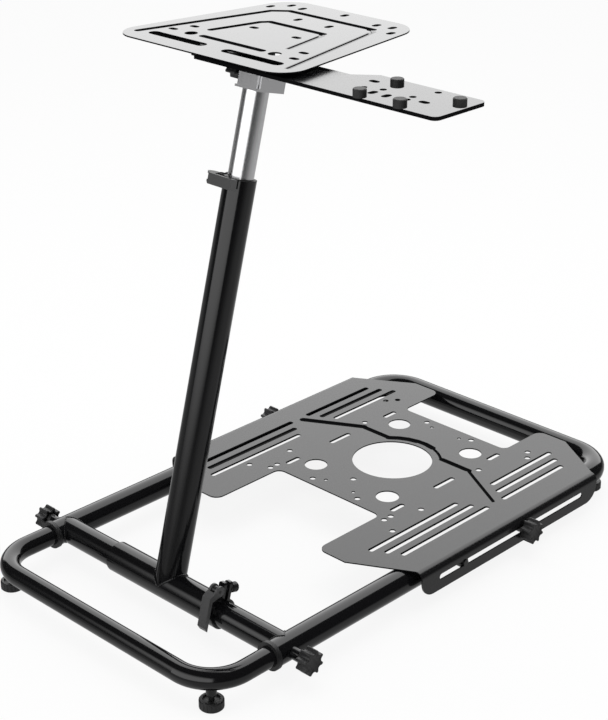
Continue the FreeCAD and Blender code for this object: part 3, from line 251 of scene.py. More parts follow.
class StandFinishes(bpy.types.PropertyGroup):
    """Colours and gloss of the finishes."""

    paint_colour: bpy.props.FloatVectorProperty(
        name="Tube paint", description="Gloss black paint of the tubes", subtype="COLOR",
        default=(0.004, 0.004, 0.0045), min=0.0, max=1.0)
    paint_roughness: bpy.props.FloatProperty(
        name="Tube gloss", description="Roughness of the tube paint", subtype="FACTOR",
        default=0.12, min=0.0, max=1.0)
    coat_colour: bpy.props.FloatVectorProperty(
        name="Powder coat", description="Satin coat of the plates", subtype="COLOR",
        default=(0.006, 0.006, 0.0065), min=0.0, max=1.0)
    deck_roughness: bpy.props.FloatProperty(
        name="Deck gloss", description="Roughness of the pedal deck's coat", subtype="FACTOR",
        default=0.25, min=0.0, max=1.0)
    plate_roughness: bpy.props.FloatProperty(
        name="Plate gloss", description="Roughness of the main plate's coat", subtype="FACTOR",
        default=0.16, min=0.0, max=1.0)
    side_roughness: bpy.props.FloatProperty(
        name="Side plate gloss", description="Roughness of the side plate's coat", subtype="FACTOR",
        default=0.21, min=0.0, max=1.0)
    silver_colour: bpy.props.FloatVectorProperty(
        name="Silver", description="Satin silver of the head bracket", subtype="COLOR",
        default=(0.68, 0.68, 0.69), min=0.0, max=1.0)
    chrome_colour: bpy.props.FloatVectorProperty(
        name="Chrome", description="Polished chrome of the mast", subtype="COLOR",
        default=(0.76, 0.76, 0.77), min=0.0, max=1.0)
    plastic_colour: bpy.props.FloatVectorProperty(
        name="Black plastic", description="Moulded knobs, feet and collars", subtype="COLOR",
        default=(0.012, 0.012, 0.0125), min=0.0, max=1.0)
    # Lighter than the other black parts: partly the levers' own dark grey, partly a painted reflection of
    # the front panel
    lever_colour_and_sheen: bpy.props.FloatVectorProperty(
        name="Levers", description="Dark steel of the clamp levers", subtype="COLOR",
        default=(0.06, 0.06, 0.061), min=0.0, max=1.0)
    rubber_colour: bpy.props.FloatVectorProperty(
        name="Rubber", description="Bumpers and spacers", subtype="COLOR",
        default=(0.016, 0.016, 0.016), min=0.0, max=1.0)
    # Near-black without shine, for the sheet of painted shade seen through the main plate's slot
    shade_sheet_colour: bpy.props.FloatVectorProperty(
        name="Shade sheet black", description="Sheet behind the main plate's slot", subtype="COLOR",
        default=(0.002, 0.002, 0.002), min=0.0, max=1.0)


class StandFittings(bpy.types.PropertyGroup):
    """Sizes of the small fittings."""

    bead_radius: bpy.props.FloatProperty(
        name="Weld bead", description="Radius of the weld beads", unit="LENGTH", default=2.0 * MM)
    arm_bead_radius: bpy.props.FloatProperty(
        name="Arm bead", description="Radius of the beads at the arms", unit="LENGTH", default=1.2 * MM)
    bead_ripple: bpy.props.FloatProperty(
        name="Weld ripple", description="Height of the ripples along a bead", unit="LENGTH",
        default=0.3 * MM)
    shade_sheet: bpy.props.FloatProperty(
        name="Shade sheet", description="Thickness of the sheet behind the main plate's slot",
        unit="LENGTH", default=0.8 * MM)
    side_drop: bpy.props.FloatProperty(
        name="Side plate", description="How far the side plate's underside is drawn down", unit="LENGTH",
        default=1.9 * MM)
    lock_nut: bpy.props.FloatProperty(
        name="Lock nut", description="Width over corners of a foot's lock nut", unit="LENGTH",
        default=15.0 * MM)
    washer: bpy.props.FloatProperty(
        name="Washer", description="Outer diameter of the tilt bolt's washers", unit="LENGTH",
        default=19.0 * MM)
    carrier_bolt: bpy.props.FloatProperty(
        name="Carrier bolt", description="Width over corners of the bolts under the plates", unit="LENGTH",
        default=11.5 * MM)
    knob_width: bpy.props.FloatProperty(
        name="Star knob", description="Width of a star knob over its lobes", unit="LENGTH",
        default=36.5 * MM)
    knob_head: bpy.props.FloatProperty(
        name="Star knob head", description="Depth of a star knob's head", unit="LENGTH", default=18.0 * MM)
    scallop: bpy.props.FloatProperty(
        name="Scallop", description="Diameter of the scallops between a knob's lobes", unit="LENGTH",
        default=10.0 * MM)
    scallop_depth: bpy.props.FloatProperty(
        name="Scallop depth", description="Depth of the scallops between a knob's lobes", unit="LENGTH",
        default=4.6 * MM)
    grip: bpy.props.FloatProperty(
        name="Thumb nut", description="Outer diameter of the knurled grip on a clamp's nut", unit="LENGTH",
        default=14.6 * MM)


class StandStage(bpy.types.PropertyGroup):
    """Floor, light and camera."""

    camera_place: bpy.props.FloatVectorProperty(
        name="Camera", description="Place of the camera", subtype="TRANSLATION", unit="LENGTH",
        default=(1.57025, -1.70195, 1.3554))
    camera_turn: bpy.props.FloatVectorProperty(
        name="Camera turn", description="Tilt, roll and heading of the camera", subtype="EULER",
        default=(math.radians(65.71), 0.0, math.radians(44.12)))
    camera_lens: bpy.props.FloatProperty(
        name="Lens", description="Focal length in millimetres", default=87.78, min=10.0)
    floor_size: bpy.props.FloatProperty(
        name="Floor", description="Side of the square floor", unit="LENGTH", default=14.0)
    floor_tone: bpy.props.FloatProperty(
        name="Floor tone", description="Reflectance of the floor", default=0.85, min=0.0, max=1.0)
    floor_glow: bpy.props.FloatProperty(
        name="Floor white", description="Share of plain white in the floor as it is seen", subtype="FACTOR",
        default=0.88, min=0.0, max=1.0)
    sky_light: bpy.props.FloatProperty(
        name="Ambient", description="Strength of the even light round the stand", default=0.8, min=0.0)
    panel_light: bpy.props.FloatProperty(
        name="Overhead panel", description="Brightness of the great panel behind and above", default=2.3,
        min=0.0)
    key_light: bpy.props.FloatProperty(
        name="Front panel", description="Brightness of the upright panel in front", default=1.9, min=0.0)
    low_light: bpy.props.FloatProperty(
        name="Floor bounce", description="Brightness that comes up from below", default=0.5, min=0.0)
    rest_light: bpy.props.FloatProperty(
        name="Room", description="Brightness of the dark room round the panels", default=0.04, min=0.0)
    top_power: bpy.props.FloatProperty(
        name="Top light", description="Power of the overhead soft box", unit="POWER", default=36.0)


def finishes():
    """The colours and gloss that the sidebar holds."""
    return bpy.context.scene.stand_finishes


def fittings():
    """The sizes of the fittings that the sidebar holds."""
    return bpy.context.scene.stand_fittings


def stage_settings():
    """The floor, light and camera that the sidebar holds."""
    return bpy.context.scene.stand_stage


def new_material(name):
    """A material with a Principled shader and Object coordinates ready to wire."""
    material = bpy.data.materials.new(name)
    material.use_nodes = True
    tree = material.node_tree
    shader = tree.nodes["Principled BSDF"]
    place = tree.nodes.new("ShaderNodeTexCoord").outputs["Object"]
    return material, tree, shader, place


class Sums:
    """Short way to write sums with the nodes of one tree."""

    def __init__(self, tree):
        self.tree = tree

    def math(self, operation, first, second=0.0):
        """One sum of two values, each a number or a socket."""
        node = self.tree.nodes.new("ShaderNodeMath")
        node.operation = operation
        for socket, value in zip(node.inputs, (first, second)):
            if isinstance(value, (int, float)):
                socket.default_value = value
            else:
                self.tree.links.new(value, socket)
        return node.outputs[0]

    def rise(self, value, start, end):
        """Nought up to the start, one from the end on, and smooth between them."""
        node = self.tree.nodes.new("ShaderNodeMapRange")
        node.interpolation_type = "SMOOTHSTEP"
        node.inputs["From Min"].default_value = start
        node.inputs["From Max"].default_value = end
        self.tree.links.new(value, node.inputs["Value"])
        return node.outputs["Result"]

    def rest(self, value):
        """What is left of one."""
        return self.math("SUBTRACT", 1.0, value)

    def product(self, *values):
        """All values multiplied."""
        total = values[0]
        for value in values[1:]:
            total = self.math("MULTIPLY", total, value)
        return total

    def plus(self, *values):
        """All values added."""
        total = values[0]
        for value in values[1:]:
            total = self.math("ADD", total, value)
        return total


def orange_peel_group():
    """Shared effect: the fine unevenness of a sprayed or moulded surface.

    Colour varies a little over hand-sized patches, and gloss and height over grains.
    """
    name = "Surface unevenness"
    if name in bpy.data.node_groups:
        return bpy.data.node_groups[name]
    group = bpy.data.node_groups.new(name, "ShaderNodeTree")
    face = group.interface
    face.new_socket("Place", in_out="INPUT", socket_type="NodeSocketVector")
    inputs = (("Colour", "NodeSocketColor", None), ("Tone spread", "NodeSocketFloat", 0.1),
              ("Roughness", "NodeSocketFloat", 0.3), ("Gloss spread", "NodeSocketFloat", 0.05),
              ("Grain size", "NodeSocketFloat", 900.0), ("Patch size", "NodeSocketFloat", 9.0))
    for label, kind, default in inputs:
        socket = face.new_socket(label, in_out="INPUT", socket_type=kind)
        if default is not None:
            socket.default_value = default
    for label, kind in (("Colour", "NodeSocketColor"), ("Roughness", "NodeSocketFloat"),
                        ("Height", "NodeSocketFloat")):
        face.new_socket(label, in_out="OUTPUT", socket_type=kind)
    nodes, links = group.nodes, group.links
    given = nodes.new("NodeGroupInput").outputs
    out = nodes.new("NodeGroupOutput").inputs

    def noise(scale, detail):
        node = nodes.new("ShaderNodeTexNoise")
        node.inputs["Detail"].default_value = detail
        links.new(given["Place"], node.inputs["Vector"])
        links.new(given[scale], node.inputs["Scale"])
        return node.outputs["Fac"]

    def swing(fac, spread):
        return sums.product(sums.math("SUBTRACT", fac, 0.5), spread)

    sums = Sums(group)
    patches = noise("Patch size", detail=3.0)
    grains = noise("Grain size", detail=2.0)
    tone = nodes.new("ShaderNodeVectorMath")
    tone.operation = "SCALE"
    links.new(given["Colour"], tone.inputs[0])
    links.new(sums.plus(swing(patches, given["Tone spread"]), 1.0), tone.inputs["Scale"])
    links.new(tone.outputs[0], out["Colour"])
    gloss = swing(grains, given["Gloss spread"])
    links.new(sums.plus(given["Roughness"], gloss), out["Roughness"])
    links.new(grains, out["Height"])
    return group


def straight_run_group():
    """Shared effect: a mask that is one along a straight run on a level plate and nought beside it."""
    name = "Straight run"
    if name in bpy.data.node_groups:
        return bpy.data.node_groups[name]
    group = bpy.data.node_groups.new(name, "ShaderNodeTree")
    for label in ("Place", "Start", "End"):
        group.interface.new_socket(label, in_out="INPUT", socket_type="NodeSocketVector")
    group.interface.new_socket("Half width", in_out="INPUT", socket_type="NodeSocketFloat")
    group.interface.new_socket("Mask", in_out="OUTPUT", socket_type="NodeSocketFloat")
    given = group.nodes.new("NodeGroupInput").outputs
    out = group.nodes.new("NodeGroupOutput").inputs

    def vector(operation, first, second=None):
        node = group.nodes.new("ShaderNodeVectorMath")
        node.operation = operation
        group.links.new(first, node.inputs[0])
        if second is not None:
            group.links.new(second, node.inputs["Scale" if operation == "SCALE" else 1])
        return node.outputs["Value" if operation in ("DOT_PRODUCT", "LENGTH") else "Vector"]

    sums = Sums(group)
    away = vector("SUBTRACT", given["Place"], given["Start"])
    run = vector("SUBTRACT", given["End"], given["Start"])
    share = sums.math("DIVIDE", vector("DOT_PRODUCT", away, run), vector("DOT_PRODUCT", run, run))
    share = sums.math("MINIMUM", sums.math("MAXIMUM", share, 0.0), 1.0)
    beside = vector("LENGTH", vector("SUBTRACT", away, vector("SCALE", run, share)))
    inside = sums.math("SUBTRACT", given["Half width"], beside)
    group.links.new(sums.rise(inside, -RUN_BLUR, RUN_BLUR), out["Mask"])
    return group


def uneven_finish(name, colour, roughness, grain=900.0, bump=0.02, tone=0.2, gloss=0.06, metallic=0.0,
                  specular=0.5, ior=1.5):
    """A painted, moulded or plated finish: the shared unevenness with its own values."""
    material, tree, shader, place = new_material(name)
    uneven = tree.nodes.new("ShaderNodeGroup")
    uneven.node_tree = orange_peel_group()
    tree.links.new(place, uneven.inputs["Place"])
    uneven.inputs["Colour"].default_value = (*colour, 1.0)
    uneven.inputs["Tone spread"].default_value = tone
    uneven.inputs["Roughness"].default_value = roughness
    uneven.inputs["Gloss spread"].default_value = gloss
    uneven.inputs["Grain size"].default_value = grain
    tree.links.new(uneven.outputs["Colour"], shader.inputs["Base Color"])
    tree.links.new(uneven.outputs["Roughness"], shader.inputs["Roughness"])
    rise = tree.nodes.new("ShaderNodeBump")
    rise.inputs["Strength"].default_value = bump
    rise.inputs["Distance"].default_value = MM
    tree.links.new(uneven.outputs["Height"], rise.inputs["Height"])
    tree.links.new(rise.outputs["Normal"], shader.inputs["Normal"])
    shader.inputs["Metallic"].default_value = metallic
    shader.inputs["Specular IOR Level"].default_value = specular
    shader.inputs["IOR"].default_value = ior
    return material


def run_mask(tree, place, start, end, width):
    """The mask of one straight run, whose ends and width are in millimetres."""
    run = tree.nodes.new("ShaderNodeGroup")
    run.node_tree = straight_run_group()
    tree.links.new(place, run.inputs["Place"])
    run.inputs["Start"].default_value = (start[0] * MM, start[1] * MM, 0.0)
    run.inputs["End"].default_value = (end[0] * MM, end[1] * MM, 0.0)
    run.inputs["Half width"].default_value = width / 2 * MM
    return run.outputs["Mask"]


def object_axes(tree):
    """X, Y and Z of a finish's Object coordinates."""
    apart = tree.nodes.new("ShaderNodeSeparateXYZ")
    tree.links.new(tree.nodes["Texture Coordinate"].outputs["Object"], apart.inputs[0])
    return [apart.outputs[axis] for axis in "XYZ"]


def pressed(tree, coated, centre, runs, slot_shades=None, mirrored=False):
    """Paint shade on a plate by taking its coat off along its pressed lines and round its small slots, both
    given from a centre.

    The runs keep their own share of the coat, and the slot shades none. mirrored slot shades are on both
    sides.
    """
    sums = Sums(tree)
    x, y, _ = object_axes(tree)
    across = sums.math("SUBTRACT", x, centre.x)
    along = sums.math("SUBTRACT", y, centre.y)

    def level_place(sideways):
        node = tree.nodes.new("ShaderNodeCombineXYZ")
        tree.links.new(sideways, node.inputs["X"])
        tree.links.new(along, node.inputs["Y"])
        return node.outputs[0]

    plain = level_place(across)
    slot_shade_place = level_place(sums.math("ABSOLUTE", across)) if mirrored else plain
    # Painted shade: the coat comes off along each run, less its share, and wholly round each slot
    for start, end, width, share in runs:
        mask = run_mask(tree, plain, start, end, width)
        coated = sums.product(coated, sums.rest(mask))
        if share:
            coated = sums.plus(coated, sums.product(mask, share))
    for axis, places in (slot_shades or {}).items():
        reach = Vector((SLOT_SHADE_REACH, 0.0) if axis == "X" else (0.0, SLOT_SHADE_REACH))
        for place in places:
            middle = Vector(place)
            mask = run_mask(tree, slot_shade_place, middle - reach, middle + reach, SLOT_SHADE_WIDTH)
            coated = sums.product(coated, sums.rest(mask))
    return coated


def painted_shadow_of_main(tree, coated):
    """Painted shadow of the main plate: leave a coat only to the right of the main plate's edge, which lies
    close above the side plate.
    """
    sums = Sums(tree)
    x, y, _ = object_axes(tree)
    slanted = sums.plus(x, sums.product(y, MAIN_EDGE_SLANT))
    edge = PIVOT.x + MAIN_EDGE_OUT + MAIN_EDGE_SLANT * PIVOT.y
    return sums.product(coated, sums.rise(slanted, edge - MM, edge + MM))


def coated_finish(name, node, roughness, ior, folded_beyond=None, painted_shade=None):
    """A black sheet with a shiny coat on its upper face, and walls, grooves and underside with no shine at
    all, which show as painted shade.

    folded_beyond is the distance from the middle past which a folded sheet is coated all over, and
    painted_shade is a function that takes the coat off where shade is painted.
    """
    material = uneven_finish(name, finishes().coat_colour, RAW_ROUGHNESS, bump=0.05, specular=0.0)
    tree = material.node_tree
    sums = Sums(tree)
    shader = tree.nodes["Principled BSDF"]
    x, _, z = object_axes(tree)
    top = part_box(node)[1].z
    # Below the top the coat is gone, so walls, grooves and underside show as painted shade
    coated = sums.rise(z, top - COAT_ENDS, top - COAT_THINS)
    if folded_beyond is not None:
        offset = sums.math("ABSOLUTE", sums.math("SUBTRACT", x, middle_of(node).x))
        coated = sums.math("MAXIMUM", coated, sums.rise(offset, folded_beyond - MM, folded_beyond))
    if painted_shade is not None:
        coated = painted_shade(tree, coated)
    grain = sums.plus(sums.product(tree.nodes["Group"].outputs["Height"], COAT_GRAIN), 1.0 - COAT_GRAIN)
    tree.links.new(sums.product(coated, grain), shader.inputs["Coat Weight"])
    shader.inputs["Coat Roughness"].default_value = roughness
    shader.inputs["Coat IOR"].default_value = ior
    return material


def main_painted_shade(tree, coated):
    """The main plate's coat, taken off as painted shade along its pressed lines and round its slots."""
    return pressed(tree, coated, PIVOT, MAIN_SHADE_LINES, MAIN_SLOT_SHADES, mirrored=True)


def side_painted_shade(tree, coated):
    """The side plate's coat, taken off as painted shade round its slots and as painted shadow under the
    main plate.
    """
    return pressed(tree, painted_shadow_of_main(tree, coated), PIVOT, [], SIDE_SLOT_SHADES)


def deck_painted_shade(tree, coated):
    """The deck's coat, taken off as painted shade along its pressed line and on the walls of its slots."""
    return pressed(tree, coated, HOLE_MIDDLE, DECK_SHADE_LINES + slot_wall_shades())


def make_finishes():
    """Every finish of the stand by its key: plain ones all over, and coats on the plates."""
    look = finishes()
    plain = {
        "tube_paint": dict(colour=look.paint_colour, roughness=look.paint_roughness, grain=420.0,
                           bump=0.012, gloss=0.04),
        "bracket_coat": dict(colour=look.coat_colour, roughness=look.deck_roughness, bump=0.05),
        "chrome_tube": dict(colour=look.chrome_colour, roughness=0.25, grain=300.0, bump=0.003, tone=0.04,
                            gloss=0.03, metallic=1.0),
        "satin_silver": dict(colour=look.silver_colour, roughness=0.25, bump=0.03, tone=0.06, metallic=1.0),
        "dark_steel": dict(colour=look.plastic_colour, roughness=0.3, bump=0.03),
        # The levers' lighter grey is partly their own colour and partly a painted reflection
        "lever_steel": dict(colour=look.lever_colour_and_sheen, roughness=0.35, grain=600.0, bump=0.03),
        "moulded_black": dict(colour=look.plastic_colour, roughness=0.48, grain=1500.0, bump=0.06),
        "bumper_rubber": dict(colour=look.rubber_colour, roughness=0.55, grain=1600.0, bump=0.08),
        # The sheet's black stands in for the shade seen through the main plate's slot and hole
        "shade_sheet_black": dict(colour=look.shade_sheet_colour, roughness=0.8, grain=1200.0, bump=0.05, ior=1.02),
        "bright_zinc": dict(colour=look.silver_colour, roughness=0.3, grain=700.0, bump=0.03, metallic=1.0),
    }
    coats = {
        "deck_coat": dict(node="pedal_plate", roughness=look.deck_roughness, ior=1.54,
                          folded_beyond=FOLD_REACH, painted_shade=deck_painted_shade),
        "main_coat": dict(node="main_plate", roughness=look.plate_roughness, ior=2.0, painted_shade=main_painted_shade),
        "side_coat": dict(node="side_plate", roughness=look.side_roughness, ior=2.0, painted_shade=side_painted_shade),
    }
    made = {key: uneven_finish(FINISH_NAMES[key], **values) for key, values in plain.items()}
    made.update({key: coated_finish(FINISH_NAMES[key], **values) for key, values in coats.items()})
    return made


def finish_named(name):
    """A finish that the finishes operator made."""
    return bpy.data.materials[FINISH_NAMES[name]]


class STAND_OT_finishes(bpy.types.Operator):
    """Give every carried-over piece its finish"""

    bl_idname = "stand.finishes"
    bl_label = "Finishes"

    def execute(self, context):
        made = make_finishes()
        for name, nodes in FINISHED_NODES.items():
            for node in nodes:
                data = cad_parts[node].data
                data.materials.clear()
                data.materials.append(made[name])
        return {"FINISHED"}


def clear_selection():
    """Leave no object selected."""
    bpy.ops.object.select_all(action="DESELECT")


def take_up(piece):
    """Select one piece alone and make it the active one."""
    clear_selection()
    piece.select_set(True)
    bpy.context.view_layer.objects.active = piece


def open_mesh(piece):
    """Go into edit mode on one piece with nothing selected in it."""
    take_up(piece)
    bpy.ops.object.mode_set(mode="EDIT")
    bpy.ops.mesh.select_all(action="DESELECT")


def close_mesh():
    """Leave edit mode."""
    bpy.ops.object.mode_set(mode="OBJECT")


def pick_faces(piece, test):
    """Select the faces that pass a test on their middle and normal, in edit mode."""
    bpy.ops.mesh.select_mode(type="FACE")
    shape = bmesh.from_edit_mesh(piece.data)
    for face in shape.faces:
        face.select_set(test(face.calc_center_median(), face.normal))
    bmesh.update_edit_mesh(piece.data)


def faces_up(middle, normal):
    """Whether a face looks straight up."""
    return normal.z > LEVEL


def faces_down(middle, normal):
    """Whether a face looks straight down."""
    return normal.z < -LEVEL


def flat_end(middle, normal):
    """Whether a face is an end of a piece about Z."""
    return faces_up(middle, normal) or faces_down(middle, normal)


def apply_modifier(piece, modifier):
    """Make a modifier part of its piece's mesh."""
    take_up(piece)
    bpy.ops.object.modifier_apply(modifier=modifier.name)


def apply_bevel(piece, width, segments=2):
    """Break the sharp edges of a piece."""
    modifier = piece.modifiers.new("Broken edges", "BEVEL")
    modifier.width = width
    modifier.segments = segments
    modifier.limit_method = "ANGLE"
    modifier.angle_limit = math.radians(40)
    apply_modifier(piece, modifier)


def smooth(piece, angle=35):
    """Shade a piece smooth apart from edges sharper than an angle in degrees."""
    take_up(piece)
    bpy.ops.object.shade_smooth_by_angle(angle=math.radians(angle))


def round_blank(sides, width, depth):
    """A cylinder about Z to start from."""
    clear_selection()
    bpy.ops.mesh.primitive_cylinder_add(vertices=sides, radius=width / 2, depth=depth)
    return bpy.context.active_object


def bored_blank(sides, width, depth, bore):
    """A round or hexagonal ring about Z, made from a cylinder whose ends are inset and bridged."""
    piece = round_blank(sides, width, depth)
    open_mesh(piece)
    pick_faces(piece, flat_end)
    bpy.ops.mesh.inset(thickness=(width - bore) / 2 * math.cos(math.pi / sides))
    bpy.ops.mesh.bridge_edge_loops()
    close_mesh()
    return piece


def set_down(pattern, places, finish):
    """Put a copy of a pattern, with its own mesh, at each named place, and take the pattern away."""
    for name, matrix, body in places:
        piece = bpy.data.objects.new(name, pattern.data.copy())
        bpy.context.scene.collection.objects.link(piece)
        piece.data.transform(matrix)
        piece.data.materials.clear()
        piece.data.materials.append(finish_named(finish))
        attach(piece, body)
    bpy.data.objects.remove(pattern)


def saddle_bead(radius, along, thickness):
    """A weld bead round a tube about Z whose height follows the other tube's side.

    along gives the bead's height at a point on the tube's wall, from its angle.
    """
    ripple = fittings().bead_ripple / thickness
    clear_selection()
    bpy.ops.mesh.primitive_torus_add(major_segments=144, minor_segments=10, major_radius=radius,
                                     minor_radius=thickness)
    piece = bpy.context.active_object
    open_mesh(piece)
    shape = bmesh.from_edit_mesh(piece.data)
    for corner in shape.verts:
        angle = math.atan2(corner.co.y, corner.co.x)
        swell = 1 + ripple * math.cos(BEAD_RIPPLES * angle)
        reach = radius + (corner.co.to_2d().length - radius) * swell
        height = along(angle) + corner.co.z * swell
        corner.co = (reach * math.cos(angle), reach * math.sin(angle), height)
    bmesh.update_edit_mesh(piece.data)
    close_mesh()
    smooth(piece, 60)
    return piece


class STAND_OT_weld_beads(bpy.types.Operator):
    """Lay the weld beads where the post meets its sleeve and the cross tube meets the arms"""

    bl_idname = "stand.weld_beads"
    bl_label = "Weld beads"

    def execute(self, context):
        # The liner is as wide as the post, and so is the sleeve that the post stands on
        low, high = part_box("post_liner")
        post = (high.x - low.x) / 2
        bead = saddle_bead(post, lambda angle: post * abs(math.cos(angle)), fittings().bead_radius)
        set_down(bead, [("post_weld_bead", POST_FRAME, "post")], "tube_paint")
        low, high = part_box("cross_tube")
        tube = (high.z - low.z) / 2
        places = []
        for side, sign in zip(SIDES, (-1, 1)):
            spot = Vector((ARM_X[side], CROSS_AXIS.y, CROSS_AXIS.z))
            turn = Matrix.Rotation(math.radians(-90 * sign), 4, "Y")
            places.append((f"arm_weld_bead_{side}", Matrix.Translation(spot) @ turn, "base"))
        bead = saddle_bead(tube, lambda angle: tube * abs(math.sin(angle)), fittings().arm_bead_radius)
        set_down(bead, places, "tube_paint")
        return {"FINISHED"}


class STAND_OT_slot_shade_sheet(bpy.types.Operator):
    """Glue a black sheet of painted shade, which shows through the left slot and hole, to the main plate's
    underside
    """

    bl_idname = "stand.slot_backing"
    bl_label = "Slot shade sheet"

    def execute(self, context):
        left, right = SHADE_SHEET_X
        near, far = SHADE_SHEET_Y
        clear_selection()
        bpy.ops.mesh.primitive_plane_add(size=1.0)
        sheet = bpy.context.active_object
        open_mesh(sheet)
        bpy.ops.mesh.select_all(action="SELECT")
        bpy.ops.transform.resize(value=(right - left, far - near, 1.0))
        bpy.ops.mesh.bevel(offset=SHADE_SHEET_CORNER, segments=6, affect="VERTICES")
        close_mesh()
        thicken = sheet.modifiers.new("Thickness", "SOLIDIFY")
        thicken.thickness = fittings().shade_sheet
        thicken.offset = -1.0
        apply_modifier(sheet, thicken)
        spot = PIVOT + Vector(((left + right) / 2, (near + far) / 2, 0.0))
        spot.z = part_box("main_plate")[1].z - SHADE_SHEET_DEPTH
        set_down(sheet, [("slot_backing", Matrix.Translation(spot), "top")], "shade_sheet_black")
        return {"FINISHED"}


class STAND_OT_side_plate(bpy.types.Operator):
    """Give the side plate its full thickness: a copy whose underside is drawn down"""

    bl_idname = "stand.side_plate"
    bl_label = "Side plate"

    def execute(self, context):
        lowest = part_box("side_plate")[0].z + NEAR
        plate = bpy.data.objects.new("side_plate_full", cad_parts["side_plate"].data.copy())
        context.scene.collection.objects.link(plate)
        open_mesh(plate)
        bpy.ops.mesh.select_all(action="SELECT")
        bpy.ops.mesh.remove_doubles(threshold=MERGE)
        pick_faces(plate, lambda middle, normal: faces_down(middle, normal) and middle.z < lowest)
        bpy.ops.transform.translate(value=(0.0, 0.0, -fittings().side_drop))
        close_mesh()
        # The solid's own normals would shade the copy's wider walls in facets
        bpy.ops.mesh.customdata_custom_splitnormals_clear()
        smooth(plate)
        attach(plate, "top")
        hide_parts("side_plate")
        return {"FINISHED"}


class STAND_OT_lock_nuts(bpy.types.Operator):
    """Screw a lock nut on to the stud of each levelling foot"""

    bl_idname = "stand.lock_nuts"
    bl_label = "Lock nuts"

    def execute(self, context):
        nut = bored_blank(6, fittings().lock_nut, LOCK_NUT_DEPTH, LOCK_NUT_BORE)
        apply_bevel(nut, 0.5 * MM)
        smooth(nut)
        places = []
        for end, body in (("front", "front_frame"), ("rear", "base")):
            for side in SIDES:
                low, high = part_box(f"{end}_foot_{side}")
                spot = (low + high) / 2
                spot.z = high.z - LOCK_NUT_DROP
                places.append((f"{end}_lock_nut_{side}", Matrix.Translation(spot), body))
        set_down(nut, places, "dark_steel")
        return {"FINISHED"}


class STAND_OT_thumb_nuts(bpy.types.Operator):
    """Knurl the thumb nuts of the two clamps"""

    bl_idname = "stand.thumb_nuts"
    bl_label = "Thumb nuts"

    def execute(self, context):
        width = fittings().grip
        grip = bored_blank(GRIP_LANES, width, GRIP_DEPTH, GRIP_BORE)
        open_mesh(grip)
        rim = width / 2 - 0.2 * MM

        def every_other(middle, normal):
            lane = round(math.atan2(middle.y, middle.x) / (2 * math.pi) * GRIP_LANES - 0.5)
            return lane % 2 == 0 and middle.to_2d().length > rim

        pick_faces(grip, every_other)
        bpy.ops.mesh.inset(thickness=GRIP_LAND, use_individual=True)
        bpy.ops.transform.shrink_fatten(value=-GRIP_GROOVE)
        close_mesh()
        smooth(grip, 25)
        turn = Matrix.Rotation(math.radians(90), 4, "X")
        places = [(f"{clamp}_nut_grip", POST_FRAME @ Matrix.Translation(spot) @ turn, "post")
                  for clamp, spot in THUMB_NUTS.items()]
        set_down(grip, places, "dark_steel")
        return {"FINISHED"}


def scallop_reach(angle):
    """How far out a star knob's wall is, at an angle from the middle of a scallop."""
    sizes = fittings()
    rim, curve = sizes.knob_width / 2, sizes.scallop / 2
    middle = rim + curve - sizes.scallop_depth
    room = curve ** 2 - (middle * math.sin(angle)) ** 2
    if room <= 0:
        return rim
    return min(rim, middle * math.cos(angle) - math.sqrt(room))


def pick_columns(piece, column, within=None):
    """Select a knob's corners that are so many columns from a scallop's middle.

    within leaves only the corners on the hollow's floor that are nearer to the axis than that.
    """
    bpy.ops.mesh.select_mode(type="VERT")
    shape = bmesh.from_edit_mesh(piece.data)
    for corner in shape.verts:
        turn = math.atan2(corner.co.y, corner.co.x) / (2 * math.pi)
        lane = round(turn * KNOB_LOBES * LOBE_COLUMNS) % LOBE_COLUMNS
        on_floor = abs(corner.co.z) < NEAR
        wanted = within is None or (on_floor and corner.co.to_2d().length < within)
        corner.select_set(wanted and min(lane, LOBE_COLUMNS - lane) == column)
    bmesh.update_edit_mesh(piece.data)


def draw_out(distance, share=1.0):
    """Extrude the selected end of a knob along Z and draw it in to a share of its width."""
    bpy.ops.mesh.extrude_region_move(TRANSFORM_OT_translate={"value": (0.0, 0.0, distance)})
    bpy.ops.transform.resize(value=(share, share, 1.0))


def star_knob(hub, stud):
    """A star knob about Z, its head centred on nought and hollow behind, its hub and any stud below."""
    sizes = fittings()
    rim, head = sizes.knob_width / 2, sizes.knob_head
    steps = range(LOBE_COLUMNS // 2 + 1)
    reach = [scallop_reach(2 * math.pi * step / (KNOB_LOBES * LOBE_COLUMNS)) for step in steps]
    knob = round_blank(KNOB_LOBES * LOBE_COLUMNS, sizes.knob_width, head)
    open_mesh(knob)
    for step in steps:
        pick_columns(knob, step)
        bpy.ops.transform.resize(value=(reach[step] / rim, reach[step] / rim, 1.0))
    pick_faces(knob, faces_up)
    draw_out(0.0, KNOB_FACE_SHARE)
    draw_out(-KNOB_DISH, KNOB_FACE_SHARE)
    pick_faces(knob, faces_down)
    draw_out(0.0, KNOB_HOLLOW_SHARE)
    draw_out(head / 2)
    draw_out(0.0, KNOB_FLOOR_SHARE)
    for step in steps:
        pick_columns(knob, step, within=KNOB_HUB / 2)
        growth = KNOB_HUB / 2 / (reach[step] * KNOB_HOLLOW_SHARE * KNOB_FLOOR_SHARE)
        bpy.ops.transform.resize(value=(growth, growth, 1.0))
    pick_faces(knob, lambda middle, normal: faces_down(middle, normal) and middle.to_2d().length < MM)
    draw_out(-(head / 2 + hub))
    if stud > MM:
        draw_out(0.0, KNOB_STUD / KNOB_HUB)
        draw_out(-stud)
    close_mesh()
    apply_bevel(knob, KNOB_EDGE)
    smooth(knob)
    return knob


